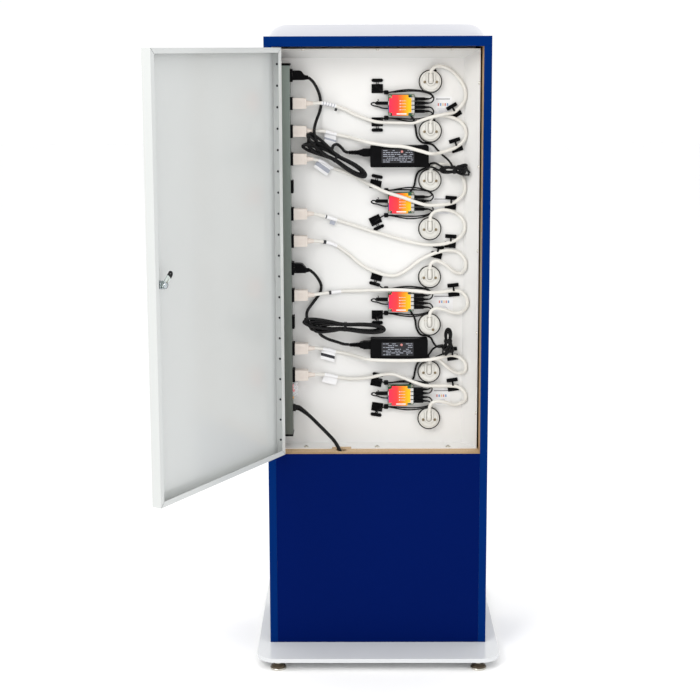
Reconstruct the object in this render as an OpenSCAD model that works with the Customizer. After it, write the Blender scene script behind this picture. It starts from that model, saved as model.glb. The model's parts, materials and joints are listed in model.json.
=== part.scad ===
// Free-standing phone charging kiosk with its rear service door swung open.
// Frame: origin on the floor under the middle of the base plate, +Z up,
// users stand on the -Y side, the service door is on the +Y side.

/* [Cabinet] */
// Width of the cabinet
cab_w = 542; // [520:1:560]
// Depth of the cabinet boards
cab_d = 252; // [248:1:262]
// Height of the top of the cabinet above the floor
cab_top = 1540; // [1536:1:1560]
// Thickness of the side boards
board_t = 19; // [16:1:19]
// Thickness of the top board
top_t = 24; // [20:1:25]
// Height of the ledge that the service tray stands on
ledge_z = 521; // [515:1:521]

/* [Base] */
// Width of the square base plate
base_w = 600; // [590:1:640]
// Thickness of the base plate
base_t = 10; // [8:1:12]
// Height of the underside of the base plate above the floor
foot_h = 21; // [19:1:24]
// Corner radius of the base plate
base_r = 48; // [20:1:60]

/* [Fascia] */
// Width of the front fascia
fascia_w = 560; // [550:1:580]
// Height of the top of the fascia above the floor
fascia_top = 1572; // [1565:1:1590]
// Corner radius of the fascia
fascia_r = 52; // [30:1:60]

/* [Door] */
// Angle that the door stands open
door_open = 120; // [100:1:125]
// Width of the door pan
door_w = 498; // [494:1:499]
// Depth of the door pan
door_t = 24; // [20:1:24]

/* [Charging positions] */
// Number of charging positions
positions = 8; // [8:1:8]
// Height of the top position
top_pos_z = 1432; // [1430:1:1434]
// Vertical distance between positions
pitch = 120.5; // [119:0.5:121]
// Length of the metal body of the power strip
strip_len = 914; // [910:1:914]

/* [Hidden] */
$fn = 48;

// cabinet planes
rear_y = base_w / 2 - 105;
front_y = rear_y - cab_d;
in_x = cab_w / 2 - board_t;
in_top = cab_top - top_t;
plate_z = foot_h + base_t;
fascia_t = 18;
fascia_y = front_y - fascia_t;

// service tray: the wall that carries the electronics faces +Y at wall_y
steel = 1.5;
wall_y = rear_y - 104;
rim_y = rear_y - 47;
lip_y = rim_y - 9;
tray_left = in_x - steel - 0.2;
wall_right = -213;
rim_right = -246;
wall_top = 1488;
rim_top = 1509;
tray_z = ledge_z + steel;
slope = (wall_right - rim_right) / (lip_y - wall_y);

// door
gap = 2;
hinge_x = in_x - 1.5;
hinge_y = rear_y + 3.2;
door_x = in_x - 3;
door_z0 = ledge_z + 4;
door_z1 = in_top - gap;
door_skin = 1.2;
lock_x = door_x - door_w + 25;
lock_z = (door_z0 + door_z1) / 2 - 6;

// charging positions and electronics
mod_x = -130;
module_r = 28;
hub_x = -59;
hub_z = [1374, 1134, 888, 648];
hub_y = wall_y + 6;
hub_w = 65;
hub_h = 52;
usb_steps = [15, 5, -5, -15];
brick_x = -54;
brick_z = [1250, 769];
brick_w = 143;
brick_h = 53;
brick_d = 32;
bay_w = 400;
bay_z0 = 526;
bay_z1 = 1486;

// power strip, its outlet faces look along -X
strip_x0 = 212;
strip_x1 = tray_left;
strip_y0 = wall_y + 4;
strip_y1 = strip_y0 + 47.6;
strip_y = (strip_y0 + strip_y1) / 2;
strip_z0 = 557;
outlet_t = 6;
outlet_top = 1447;
outlet_pitch = 67.5;
face_x = strip_x0 - outlet_t;
white_slots = [1, 2, 3, 5, 6, 8, 10, 11];
black_slots = [0, 7];
switch_z = 671;
lamp_z = 646;
gland_z = 620;

// inlets of the phone leads above and below each hub, and the lie of the leads at the wall
boot_x = -22;
boot_h = 15;
boot_step = 31;
run_lift = 7;
jack_x = hub_x + 32.5;

// fixings and clips
foot_x = 247;
foot_y = 279;
stud_r = 5;
cam_rest = 45;
rocker_rest = 8;
side_screws = [611, 815, 1019, 1226, 1428];
top_screws = [-179, 0, 180];
floor_screws = [-177, 1, 179];
// room between bar and pad where a clip holds a flex
flex_drop = 4.5;
// clips of the middle column, [x, z of the neck, turn]
centre_clips = [[0, 1425, 0], [0, 1322, 180], [2, 1190, -12], [0, 1080, 205], [4, 939, 165],
    [0, 841, 180], [0, 690, -12], [2, 604, 172]];
// clips under the mains cords of the modules
cord_clips = [[-187, 1362, 30], [-193, 1278, 18], [-182, 1136, -4], [-182, 1040, -4],
    [-150, 1014, -14], [-190, 917, 6], [-188, 754, 8], [-190, 675, 8]];

// cord sizes
white_r = 4.25;
black_r = 3.75;
mains_r = 4.5;
thin_r = 1.75;
dc_r = 2.5;

// routes are [x, z, lift]: lift is the clearance under the cord above the tray wall
white_routes = [
    [[158, 1379, 19], [128, 1379, 12], [86, 1366, 3], [56, 1351, 2], [26, 1340, 5], [0, 1333, 5],
     [-40, 1331, 5], [-88, 1331, 7], [-110, 1338, 14], [-130, 1345, 21], [-150, 1349, 18],
     [-170, 1353, 12], [-190, 1358, 5], [-212, 1382, 0], [-214, 1410, 0], [-198, 1440, 1],
     [-172, 1462, 5], [-146, 1468, 9], [-131, 1457, 11], [-130, 1440, 11]],
    [[158, 1311, 19], [134, 1311, 10], [104, 1303, 2], [72, 1296, 4], [42, 1289, 24], [18, 1284, 34],
     [-26, 1277, 33], [-65, 1274, 33], [-104, 1264, 34], [-130, 1257, 33], [-152, 1257, 12],
     [-180, 1265, 5], [-198, 1274, 4], [-214, 1290, 0], [-216, 1314, 0], [-204, 1333, 5],
     [-184, 1343, 5], [-162, 1348, 3], [-142, 1348, 9], [-131, 1339, 11], [-130, 1320, 11]],
    [[158, 1243.5, 19], [136, 1238, 8], [112, 1222, 1], [84, 1212, 1], [56, 1200, 1], [28, 1184, 4],
     [4, 1173, 12], [-22, 1162, 22], [-60, 1150, 22], [-96, 1137, 22], [-122, 1130, 20],
     [-150, 1129, 12], [-180, 1132, 5], [-198, 1140, 4], [-214, 1160, 0], [-214, 1186, 0],
     [-200, 1210, 1], [-176, 1226, 5], [-148, 1229, 10], [-131, 1217, 11], [-130, 1199, 11]],
    [[158, 1109, 19], [130, 1101, 6], [100, 1091, 1], [50, 1075, 1], [16, 1064, 4], [-10, 1057, 4],
     [-46, 1046, 4], [-80, 1037, 4], [-118, 1030, 4.5], [-154, 1030, 4.5], [-182, 1036, 5],
     [-200, 1044, 3], [-214, 1062, 0], [-215, 1084, 0], [-202, 1102, 1], [-180, 1114, 5],
     [-152, 1116, 10], [-133, 1105, 11], [-130, 1079, 11]],
    [[158, 1041.5, 19], [130, 1037, 6], [104, 1028, 1], [72, 1006, 1], [50, 986, 1], [24, 969, 2],
     [0, 960, 5], [-26, 952, 3], [-50, 953, 2], [-74, 966, 2], [-100, 986, 2], [-126, 1001, 4],
     [-148, 1010, 5], [-174, 1015, 4], [-200, 1010, 2], [-217, 992, 0], [-218, 972, 0],
     [-208, 958, 1], [-190, 962, 5], [-168, 980, 9], [-146, 990, 11], [-132, 980, 11], [-130, 958, 11]],
    [[158, 907, 19], [130, 908, 6], [90, 912, 1], [40, 914, 3], [8, 916, 10], [-20, 918, 16],
     [-60, 918, 18], [-100, 915, 18], [-130, 911, 16], [-160, 911, 8], [-188, 914, 5],
     [-208, 911, 4], [-221, 898, 0], [-223, 880, 0], [-213, 862, 0], [-194, 857, 5],
     [-168, 866, 10], [-146, 870, 11], [-132, 860, 11], [-130, 837, 11]],
    [[158, 772, 19], [134, 767, 8], [108, 760, 2], [80, 754, 2], [50, 749, 16], [24, 745, 33],
     [-10, 743, 33], [-60, 742, 33], [-110, 743, 33], [-136, 745, 31], [-160, 748, 22],
     [-184, 750, 7], [-204, 745, 5], [-219, 732, 0], [-220, 714, 0], [-208, 703, 1],
     [-190, 708, 4], [-172, 723, 10], [-156, 738, 14], [-141, 744, 13], [-131, 735, 11], [-130, 717, 11]],
    [[158, 704.5, 19], [130, 700, 5], [100, 693, 1], [70, 689, 1], [40, 690, 2], [14, 694, 5],
     [-12, 700, 5], [-40, 702, 8], [-66, 694, 15], [-92, 684, 18], [-118, 675, 17], [-150, 672, 9],
     [-180, 671, 5], [-204, 668, 5], [-219, 656, 0], [-221, 640, 0], [-210, 626, 0], [-192, 622, 4],
     [-170, 630, 11], [-148, 634, 17], [-133, 624, 16], [-130, 596, 11]]];

// routes are [x, y, z] from here on
lead_a = [
    [[168, strip_y, 1442], [155, 117, 1430], [143, 104, 1405], [138, 98, 1380], [140, 98, 1362],
     [147, 108, 1343], [152, 122, 1327], [154, 129, 1312], [152, 127, 1299], [148, 121, 1288]],
    [[168, strip_y, 970], [155, 117, 958], [143, 106, 938], [140, 98, 922], [145, 97, 905],
     [160, 100, 885], [174, 108, 866], [176, 117, 852], [172, 120, 842]]];
lead_b = [
    [[112, 118, 1262], [108, 114, 1276], [98, 110, 1279], [88, 108, 1271], [80, 107, 1262],
     [71, 107, 1259]],
    [[148, 119, 822], [142, 115, 806], [124, 111, 794], [102, 108, 786], [84, 107, 780],
     [71, 107, 779]]];
hank_ends = [[[158, 1282], [44, 1212]], [[160, 832], [0, 822]]];
hank_r = 22;
hank_y = wall_y + 18;
hank_t = 20;

// tied hanks of the thin leads: [x, z, length between end centres, turn]
dc_ovals = [[-188, 1217, 44, 0], [-176, 790, 38, 90]];
dc_hank_y = wall_y + 21;
dc_hank_t = 16;

// leads between each brick, its tied hank and the hub above and below it
dc_short = [
    [[-126, 103, 1228], [-133, 108, 1232], [-142, 116, 1233], [-152, 120, 1228], [-163, 120, 1222]],
    [[-126, 103, 748], [-132, 103, 756], [-139, 108, 767], [-150, 116, 776], [-164, 120, 780]]];
dc_hub = [
    [[-185, 118, 1224], [-174, 112, 1240], [-160, 100, 1252], [-148, 94, 1264], [-137, 94, 1276],
     [-125, 94, 1280], [-110, 94, 1283], [-98, 94, 1296], [-94, 94, 1318], [-90, 93.7, 1336],
     [-80, 93.7, 1352]],
    [[-166, 120, 1212], [-148, 120, 1217], [-132, 121, 1224], [-114, 112, 1219], [-101, 99, 1210],
     [-95, 94, 1196], [-91, 93.7, 1176], [-80, 93.7, 1157]],
    [[-172, 118, 778], [-160, 106, 772], [-148, 96, 772], [-140, 94, 782], [-134, 94, 793],
     [-124, 94, 798.6], [-108, 94, 802], [-98, 94, 818], [-95, 94, 838], [-90, 93.7, 850], [-80, 93.7, 866]],
    [[-176, 118, 772], [-170, 108, 758], [-156, 96, 748], [-142, 94, 741], [-130, 94, 739.7],
     [-112, 94, 737], [-100, 94, 725], [-95, 94, 708], [-91, 93.7, 690], [-80, 93.7, 671]]];

// mains cord from the strip's gland, through the ledge, to the coil in the lower cupboard
cord_hole = [90, 158];
coil_at = [60, 60];
coil_r = 50;
coil_t = 19;
floor_z = plate_z + board_t;
mains_route = [[198, strip_y, gland_z], [186, 121, 612], [168, 126, 598], [148, 134, 580],
    [126, 144, 560], [108, 152, 542], [96, 157, 522], [90, 158, 500], [92, 156, 450], [100, 148, 380],
    [108, 136, 300], [114, 120, 220], [116, 108, 160], [115.5, 101.5, 125], [115, 99, 102],
    [114, 94, 86], [112, 86, 77], [110.5, 76, 73.4], [109.5, 66, 72.9]];
tail_route = [[76, 13, 73], [60, 11, 73], [42, 11, 74], [22, 14, 74.5], [0, 20, 73], [-22, 28, 68],
    [-42, 34, 62], [-56, 36, 60], [-64, 36, 60]];

function pos_z(i) = top_pos_z - pitch * i;
function outlet_z(i) = outlet_top - outlet_pitch * i;
function wall_at(x) = wall_y + max(0, wall_right - x) / slope;
function lifted(p) = [p[0], wall_at(p[0] - white_r) + white_r + p[2] + (p[0] < -204 ? 1.5 : 0.4), p[1]];

// smooth curve through the route points
function bend(a, b, c, d, t) =
    0.5 * (2 * b + (c - a) * t + (2 * a - 5 * b + 4 * c - d) * t * t
    + (3 * b - a - 3 * c + d) * t * t * t);
function smooth(p, n) = let (m = len(p) - 1) concat(
    [for (i = [0 : m - 1], k = [0 : n - 1])
        bend(p[max(i - 1, 0)], p[i], p[i + 1], p[min(i + 2, m)], k / n)],
    [p[m]]);
function unit(v) = v / norm(v);
function along(p, i) = unit(p[min(i + 1, len(p) - 1)] - p[max(i - 1, 0)]);
function carry(p, i, u) = let (t = along(p, i)) unit(u - (u * t) * t);
function sides(p) = [for (i = 0, u = carry(p, 0, [0, 0.3, 1]); i < len(p);
    i = i + 1, u = i < len(p) ? carry(p, i, u) : u) u];

// closed tube swept along a route
module tube(route, r, n = 2, facets = 8) {
    p = smooth(route, n);
    u = sides(p);
    rings = [for (i = [0 : len(p) - 1]) let (v = cross(along(p, i), u[i]))
        for (k = [0 : facets - 1]) let (a = 360 * k / facets) p[i] + r * (cos(a) * u[i] + sin(a) * v)];
    walls = [for (i = [0 : len(p) - 2], k = [0 : facets - 1]) let (b = i * facets, j = (k + 1) % facets)
        [b + k, b + facets + k, b + facets + j, b + j]];
    caps = [[for (k = [0 : facets - 1]) k],
        [for (k = [facets - 1 : -1 : 0]) (len(p) - 1) * facets + k]];
    polyhedron(rings, concat(walls, caps), convexity = 10);
}

// box given by its lowest and highest corners
module block(lo, hi) { translate(lo) cube(hi - lo); }

// round rod that points along +Y from the given point
module rod_y(at, r, h) { translate(at) rotate([-90, 0, 0]) cylinder(r = r, h = h); }

// round rod that points along +X from the given point
module rod_x(at, r, h) { translate(at) rotate([0, 90, 0]) cylinder(r = r, h = h); }

// upright plate with rounded corners, centred on x = 0
module round_plate(w, z0, z1, r, y, t) {
    translate([0, y + t, 0]) rotate([90, 0, 0]) linear_extrude(t) rounded(w, z0, z1, r);
}

// rounded rectangle drawn from circles and bars so that its arcs stay true
module rounded(w, z0, z1, r) {
    for (x = [-1, 1], z = [z0 + r, z1 - r]) translate([x * (w / 2 - r), z]) circle(r);
    translate([-w / 2, z0 + r]) square([w, z1 - z0 - 2 * r]);
    translate([r - w / 2, z0]) square([w - 2 * r, z1 - z0]);
}

// turns a door part from its closed place to where the open door holds it
module on_door() {
    translate([hinge_x, hinge_y, 0]) rotate([0, 0, -door_open])
        translate([-hinge_x, -hinge_y, 0]) children();
}

module base_plate() {
    color("white") difference() {
        translate([0, 0, foot_h]) linear_extrude(base_t)
            translate([0, -base_w / 2]) rounded(base_w, 0, base_w, base_r);
        for (x = [-1, 1], y = [-1, 1]) translate([x * foot_x, y * foot_y, foot_h - 1])
            cylinder(r = stud_r + 0.08, h = base_t - 1);
    }
}

module cabinet_sides() {
    color("mediumblue") difference() {
        for (s = [-1, 1]) block([min(s * in_x, s * cab_w / 2), front_y, plate_z],
            [max(s * in_x, s * cab_w / 2), rear_y, cab_top - top_t]);
        block([-in_x - 14, rear_y - door_t - 12, lock_z - 44], [-in_x + 1, rear_y - door_t, lock_z + 44]);
        block([-in_x - 2, rear_y - door_t - 13, lock_z - 56], [-in_x + 1, rear_y - door_t + 5, lock_z + 56]);
    }
}

module cabinet_top() {
    color("mediumblue") block([-cab_w / 2, front_y, cab_top - top_t], [cab_w / 2, rear_y, cab_top]);
}

module ledge_shelf() {
    color("burlywood") difference() {
        block([-in_x, front_y, ledge_z - board_t], [in_x, rear_y - board_t, ledge_z]);
        translate([cord_hole[0], cord_hole[1], ledge_z - board_t - 1]) cylinder(r = 13, h = board_t + 2);
    }
}

module cabinet_floor() {
    color("burlywood") block([-in_x, front_y, plate_z], [in_x, rear_y - board_t, floor_z]);
}

module lower_rear_panel() {
    color("mediumblue") block([-in_x, rear_y - board_t, plate_z], [in_x, rear_y, ledge_z]);
}

module front_fascia() {
    color("white") difference() {
        round_plate(fascia_w, plate_z + 1, fascia_top, fascia_r, fascia_y, fascia_t);
        round_plate(bay_w, bay_z0, bay_z1, 24, fascia_y - 1, fascia_t + 2);
    }
}

module charging_bay() {
    color("gainsboro") {
        difference() {
            round_plate(bay_w - 0.4, bay_z0 + 0.2, bay_z1 - 0.2, 23.8, fascia_y, wall_y - steel - fascia_y);
            round_plate(bay_w - 2 * steel, bay_z0 + steel, bay_z1 - steel, 22.5, fascia_y - 1,
                wall_y - steel - fascia_y + 2);
        }
        difference() {
            round_plate(bay_w + 24, bay_z0 - 12, bay_z1 + 12, 36, fascia_y - 2, 2);
            round_plate(bay_w - 2 * steel, bay_z0 + steel, bay_z1 - steel, 22.5, fascia_y - 3, 4);
        }
    }
}

module phone_shelves() {
    shelf_w = bay_w - 2 * steel - 4;
    back = wall_y - steel;
    color("whitesmoke") for (i = [0 : positions - 2]) translate([0, 0, pos_z(i) - 56]) {
        block([-shelf_w / 2, back - 96, 0], [shelf_w / 2, back, 2]);
        block([-shelf_w / 2, back - 98, 0], [shelf_w / 2, back - 96, 14]);
        block([-shelf_w / 2, back - 2, 2], [shelf_w / 2, back, 16]);
    }
}

module service_tray() {
    color("whitesmoke") difference() {
        tray_form(steel, 0);
        tray_form(0, 1);
        for (i = [0 : positions - 1]) rod_y([mod_x, wall_y - 5, pos_z(i)], 20.3, 10);
        for (k = [0 : 3], s = [-1, 1]) rod_y([boot_x, wall_y - 5, hub_z[k] + s * boot_step], 3.6, 10);
        block([66, rim_y - 18, ledge_z - 1], [114, rim_y + 2, tray_z + 1]);
        for (z = side_screws) rod_x([rim_right - 5, rim_y - 4.5, z], 2.1, 10);
        for (x = top_screws) translate([x, rim_y - 4.5, rim_top - 3]) cylinder(r = 2.1, h = 8);
        for (x = floor_screws) translate([x, rim_y - 14, ledge_z - 1]) cylinder(r = 2.1, h = 5);
    }
}

// solid form of the tray's inside (grow = 0) or outside (grow = sheet thickness)
module tray_form(grow, past) {
    e = past * 2;
    intersection() {
        translate([0, 0, ledge_z - 10]) linear_extrude(rim_top - ledge_z + 40) polygon([
            [tray_left + grow, wall_y - grow], [tray_left + grow, rim_y + e], [rim_right - grow, rim_y + e],
            [rim_right - grow, lip_y], [wall_right - grow, wall_y - grow]]);
        rotate([90, 0, 90]) translate([0, 0, -in_x - 10]) linear_extrude(2 * in_x + 20) polygon([
            [wall_y - grow, tray_z - grow], [rim_y + e, tray_z - grow], [rim_y + e, rim_top + grow],
            [lip_y, rim_top + grow], [wall_y - grow, wall_top + grow]]);
    }
}

// one half of the piano hinge: a leaf beside the door gap and every second knuckle
module hinge_leaf(x0, first, reach) {
    knuckles = 39;
    step = (door_z1 - door_z0 - 8) / knuckles;
    difference() {
        union() {
            block([x0, rear_y - 19, door_z0 + 4], [x0 + 1, rear_y - 0.2, door_z1 - 4]);
            for (k = [first : 2 : knuckles - 1]) translate([0, 0, door_z0 + 4 + k * step + 0.15]) {
                block([x0, rear_y - 0.3, 0], [x0 + 1, hinge_y, step - 0.3]);
                translate([hinge_x, hinge_y, 0]) cylinder(r = 2.8, h = step - 0.3);
            }
        }
        translate([hinge_x, hinge_y, door_z0]) cylinder(r = 1.65, h = door_z1 - door_z0);
    }
}

module hinge_leaf_cabinet() { color("silver") hinge_leaf(in_x - 1, 0); }

module hinge_leaf_door() { color("silver") on_door() hinge_leaf(door_x, 1); }

module hinge_pin() {
    color("gray") translate([hinge_x, hinge_y, door_z0 + 4]) cylinder(r = 1.5, h = door_z1 - door_z0 - 8);
}

module door_pan() {
    x0 = door_x - door_w;
    lip = 12;
    color("whitesmoke") on_door() difference() {
        block([x0, rear_y - door_t, door_z0], [door_x, rear_y, door_z1]);
        block([x0 + door_skin, rear_y - door_t + door_skin, door_z0 + door_skin],
            [door_x - door_skin, rear_y - door_skin, door_z1 - door_skin]);
        block([x0 + lip, rear_y - door_t - 1, door_z0 + lip],
            [door_x - lip, rear_y - door_t + door_skin + 1, door_z1 - lip]);
        rod_y([lock_x, rear_y - 5, lock_z], 9.6, 10);
        block([x0 + lip - 1, rear_y - door_t - 1, lock_z - 16],
            [lock_x + 16, rear_y - door_t + door_skin + 1, lock_z + 16]);
    }
}

module lock_body() {
    color("silver") on_door() difference() {
        union() {
            rod_y([lock_x, rear_y, lock_z], 11.5, 1.8);
            rod_y([lock_x, rear_y - 23, lock_z], 9.3, 23);
            translate([lock_x, rear_y - door_skin, lock_z]) rotate([90, 0, 0])
                cylinder(r = 13, h = 5, $fn = 6);
        }
        rod_y([lock_x, rear_y - 24, lock_z], 6.3, 30);
    }
}

module lock_cam() {
    color("dimgray") on_door() translate([lock_x, 0, lock_z]) {
        difference() {
            rod_y([0, rear_y - 27, 0], 6, 29);
            block([-0.9, rear_y - 3, -3.5], [0.9, rear_y + 4, 3.5]);
        }
        rotate([0, cam_rest, 0]) {
            difference() {
                union() {
                    block([-7, rear_y - 29.5, -7], [7, rear_y - 27, 30]);
                    rod_y([0, rear_y - 29.5, 30], 7, 2.5);
                }
                rod_y([0, rear_y - 33, 31], 2, 8);
            }
            translate([0, rear_y - 27, 0]) rotate([90, 0, 0]) cylinder(r = 6.5, h = 6, $fn = 6);
        }
    }
}

module strike_plate() {
    color("silver") difference() {
        block([-in_x - 2, rear_y - door_t - 12.8, lock_z - 55.5],
            [-in_x - 0.5, rear_y - door_t + 4.8, lock_z + 55.5]);
        block([-in_x - 3, rear_y - door_t - 9, lock_z - 38], [-in_x + 1, rear_y - door_t - 0.5, lock_z + 38]);
        for (z = [-48, 48]) rod_x([-in_x - 5, rear_y - door_t - 4, lock_z + z], 1.6, 8);
    }
}

module strip_housing() {
    color("slategray") difference() {
        block([strip_x0, strip_y0, strip_z0], [strip_x1, strip_y1, strip_z0 + strip_len]);
        block([strip_x0 + 1.5, strip_y0 + 1.5, strip_z0 - 1],
            [strip_x1 - 1.5, strip_y1 - 1.5, strip_z0 + strip_len + 1]);
        for (i = [0 : 11]) block([strip_x0 - 1, strip_y - 14, outlet_z(i) - 14],
            [strip_x0 + 3, strip_y + 14, outlet_z(i) + 14]);
        block([strip_x0 - 1, strip_y - 9, switch_z - 12], [strip_x0 + 3, strip_y + 9, switch_z + 12]);
        rod_x([strip_x0 - 1, strip_y, lamp_z], 3.2, 4);
        rod_x([strip_x0 - 1, strip_y, gland_z], 7.2, 4);
    }
}

module strip_end_caps() {
    color("black") for (z = [strip_z0 - 5, strip_z0 + strip_len])
        block([strip_x0 - 1, strip_y0 - 1, z], [strip_x1, strip_y1 + 1, z + 5]);
}

module strip_outlets() {
    color("black") for (i = [0 : 11]) translate([0, strip_y, outlet_z(i)]) difference() {
        union() {
            block([face_x, -15.5, -15.5], [strip_x0, 15.5, 15.5]);
            block([strip_x0, -13.8, -13.8], [strip_x1 - 6, 13.8, 13.8]);
        }
        for (s = [-1, 1]) block([face_x - 1, s * 6.4 - 1, -1], [face_x + 17, s * 6.4 + 1, 7.5]);
        rod_x([face_x - 1, 0, -7], 2.6, 18);
    }
}

module switch_guard() {
    color([0.85, 0.9, 0.95, 0.5]) translate([0, strip_y, switch_z]) difference() {
        block([strip_x0 - 12, -14, -17], [strip_x0, 14, 17]);
        block([strip_x0 - 10.5, -12.5, -15.5], [strip_x0 + 1, 12.5, 15.5]);
        block([strip_x0 - 13, -8, -11], [strip_x0 - 9, 8, 11]);
    }
}

module strip_rocker() {
    color("red") translate([strip_x0 + 3, strip_y, switch_z]) rotate([0, rocker_rest, 0]) {
        difference() {
            union() {
                block([-7.5, -7, -9.5], [1, 7, 9.5]);
                rotate([90, 0, 0]) translate([0, 0, -7]) cylinder(r = 3.4, h = 14);
            }
            translate([-15, 0, 0]) rotate([90, 0, 0]) translate([0, 0, -8]) cylinder(r = 10.5, h = 16);
        }
    }
}

module strip_lamp() {
    color("gold") rod_x([strip_x0 - 2, strip_y, lamp_z], 3, 8);
}

module strip_gland() {
    color("dimgray") {
        rod_x([strip_x0 - 7, strip_y, gland_z], 9.5, 7);
        rod_x([strip_x0 - 14, strip_y, gland_z], 6.5, 8);
        rod_x([strip_x0, strip_y, gland_z], 7, 8);
    }
}

module white_plugs() {
    color("ivory") for (i = white_slots) translate([0, strip_y, outlet_z(i)]) {
        block([173, -13, -12.5], [face_x - 0.5, 13, 12.5]);
        translate([158, 0, 0]) rotate([0, 90, 0]) cylinder(r1 = 5.2, r2 = 8.5, h = 15);
        blades();
    }
}

// the two flat blades and the earth pin of a plug
module blades() {
    for (s = [-1, 1]) block([face_x - 2, s * 6.4 - 0.7, 0], [face_x + 15, s * 6.4 + 0.7, 6.5]);
    rod_x([face_x - 2, 0, -7], 2.3, 17);
}

module white_cord(i) {
    color("ivory") tube([for (p = white_routes[i]) lifted(p)], white_r);
}

module white_cord_1() { white_cord(0); }
module white_cord_2() { white_cord(1); }
module white_cord_3() { white_cord(2); }
module white_cord_4() { white_cord(3); }
module white_cord_5() { white_cord(4); }
module white_cord_6() { white_cord(5); }
module white_cord_7() { white_cord(6); }
module white_cord_8() { white_cord(7); }

module black_plugs() {
    color("black") for (i = black_slots) translate([0, strip_y, outlet_z(i)]) {
        difference() {
            block([178, -13, -11], [face_x - 0.5, 13, 12]);
            translate([178, 14, 12]) rotate([90, 45, 0]) linear_extrude(28) square(9, center = true);
        }
        rod_x([168, 0, -5], 5.4, 12);
        blades();
    }
}

module brick_lead(i) {
    color("black") difference() {
        union() {
            tube(lead_a[i], black_r);
            tube(lead_b[i], black_r);
        }
        hank_form(i);
    }
}

module brick_lead_1() { brick_lead(0); }
module brick_lead_2() { brick_lead(1); }

// outer shape of a tied hank of flex, a flat stadium between two centres
module hank_form(i) {
    a = hank_ends[i][0];
    b = hank_ends[i][1];
    turn = atan2(b[1] - a[1], b[0] - a[0]);
    translate([a[0], hank_y + hank_t, a[1]]) rotate([90, 0, 0]) rotate(turn) linear_extrude(hank_t) {
        circle(hank_r);
        translate([norm(b - a), 0]) circle(hank_r);
        translate([0, -hank_r]) square([norm(b - a), 2 * hank_r]);
    }
}

module brick_hank_1() { color("black") hank_form(0); }
module brick_hank_2() { color("black") hank_form(1); }

module lead_connectors() {
    color("black") for (z = brick_z) translate([0, wall_y + brick_d / 2, z + 9]) {
        block([brick_x + brick_w / 2, -11, -9], [46, 11, 9]);
        translate([46, 0, 0]) rotate([0, 90, 0]) cylinder(r1 = 7.5, r2 = 5, h = 25);
    }
}

module power_bricks() {
    color("black") for (z = brick_z) translate([brick_x, wall_y, z]) {
        block([-brick_w / 2, 0.2, -brick_h / 2], [brick_w / 2, brick_d, brick_h / 2]);
        rod_x([-brick_w / 2 - 1, 12, -22], 4.5, 4);
    }
}

module dc_leads() {
    color("black") difference() {
        union() {
            for (r = dc_short) tube(r, dc_r);
            for (r = dc_hub) tube(r, dc_r);
        }
        dc_hank_forms();
    }
}

module dc_hanks() { color("black") dc_hank_forms(); }

module dc_hank_forms() {
    for (o = dc_ovals) translate([o[0], dc_hank_y + dc_hank_t, o[1]]) rotate([90, 0, 0])
        linear_extrude(dc_hank_t) dc_oval(o[2], o[3]);
}

// flat oval of a small tied hank
module dc_oval(length, turn) {
    rotate(turn) {
        for (s = [-1, 1]) translate([s * length / 2, 0]) circle(16);
        square([length, 32], center = true);
    }
}

module hub_boards() {
    color("green") for (z = hub_z) translate([hub_x, hub_y, z]) difference() {
        block([-hub_w / 2, 0, -hub_h / 2], [hub_w / 2, 1.6, hub_h / 2]);
        for (x = [-1, 1], s = [-1, 1]) rod_y([x * (hub_w / 2 - 4), -1, s * (hub_h / 2 - 4)], 1.7, 4);
    }
}

module hub_covers() {
    color("orangered") for (z = hub_z) translate([hub_x, hub_y + 13.6, z]) {
        difference() {
            block([-24, 0, -25], [hub_w / 2 - 2, 2, 25]);
            for (s = [-1, 1], c = [-1, 1])
                translate([3.25 + s * 27.25, 1, c * 25]) cube([15, 5, 15], center = true);
        }
    }
}

module hub_sockets() {
    color("silver") for (z = hub_z) translate([hub_x, hub_y + 1.6, z]) {
        for (s = usb_steps) block([1 - hub_w / 2, 0, s - 4], [18 - hub_w / 2, 11.5, s + 4]);
        block([hub_w / 2 - 12, 0, -13], [hub_w / 2, 8, -3]);
        block([hub_w / 2 - 12, 0, 0], [hub_w / 2, 10, 10]);
    }
}

module usb_plugs() {
    color("black") for (z = hub_z) {
        for (s = usb_steps)
            block([-118, hub_y + 2.2, z + s - 4.4], [hub_x - hub_w / 2 - 0.2, hub_y + 13, z + s + 4.4]);
        block([jack_x + 0.2, hub_y + 3, z + 1], [3, hub_y + 12, z + 9]);
    }
}

// phone leads: each leaves its plug, turns back past the hub and enters its boot
module usb_cables() {
    y = hub_y + 7.6;
    color("black") {
        for (h = hub_z, s = [-1, 1], k = [0, 1]) {
            run = wall_y + run_lift + 5 * k;
            tube([[-118, y, h + s * (15 - 10 * k)], [-123, y + k, h + s * (15.5 - 9 * k)],
                [-126 - 3 * k, y + k, h + s * (20 - 4 * k)], [-120 - 2 * k, y - 3 + 2 * k, h + s * 28],
                [-104, run + 2, h + s * boot_step], [-80, run, h + s * boot_step],
                [-50, run, h + s * boot_step], [-34, run, h + s * boot_step],
                [boot_x - 5, run, h + s * boot_step]], thin_r);
        }
        for (h = hub_z) tube([[3, y, h + 5], [10, y, h + 6.5], [15, y, h + 3], [10, y - 2, h - 1],
            [0, y - 3, h - 3], [-12, y - 3, h - 7], [-20, y - 3, h - 8], [jack_x, y - 3, h - 8]], thin_r);
    }
}

module lead_boots() {
    color("black") for (z = hub_z, s = [-1, 1]) translate([boot_x, wall_y, z + s * boot_step]) {
        block([-5, 0, -4.5], [5, boot_h, 4.5]);
        rod_y([0, -steel - 3, 0], 3.4, steel + 3);
    }
}

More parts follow.
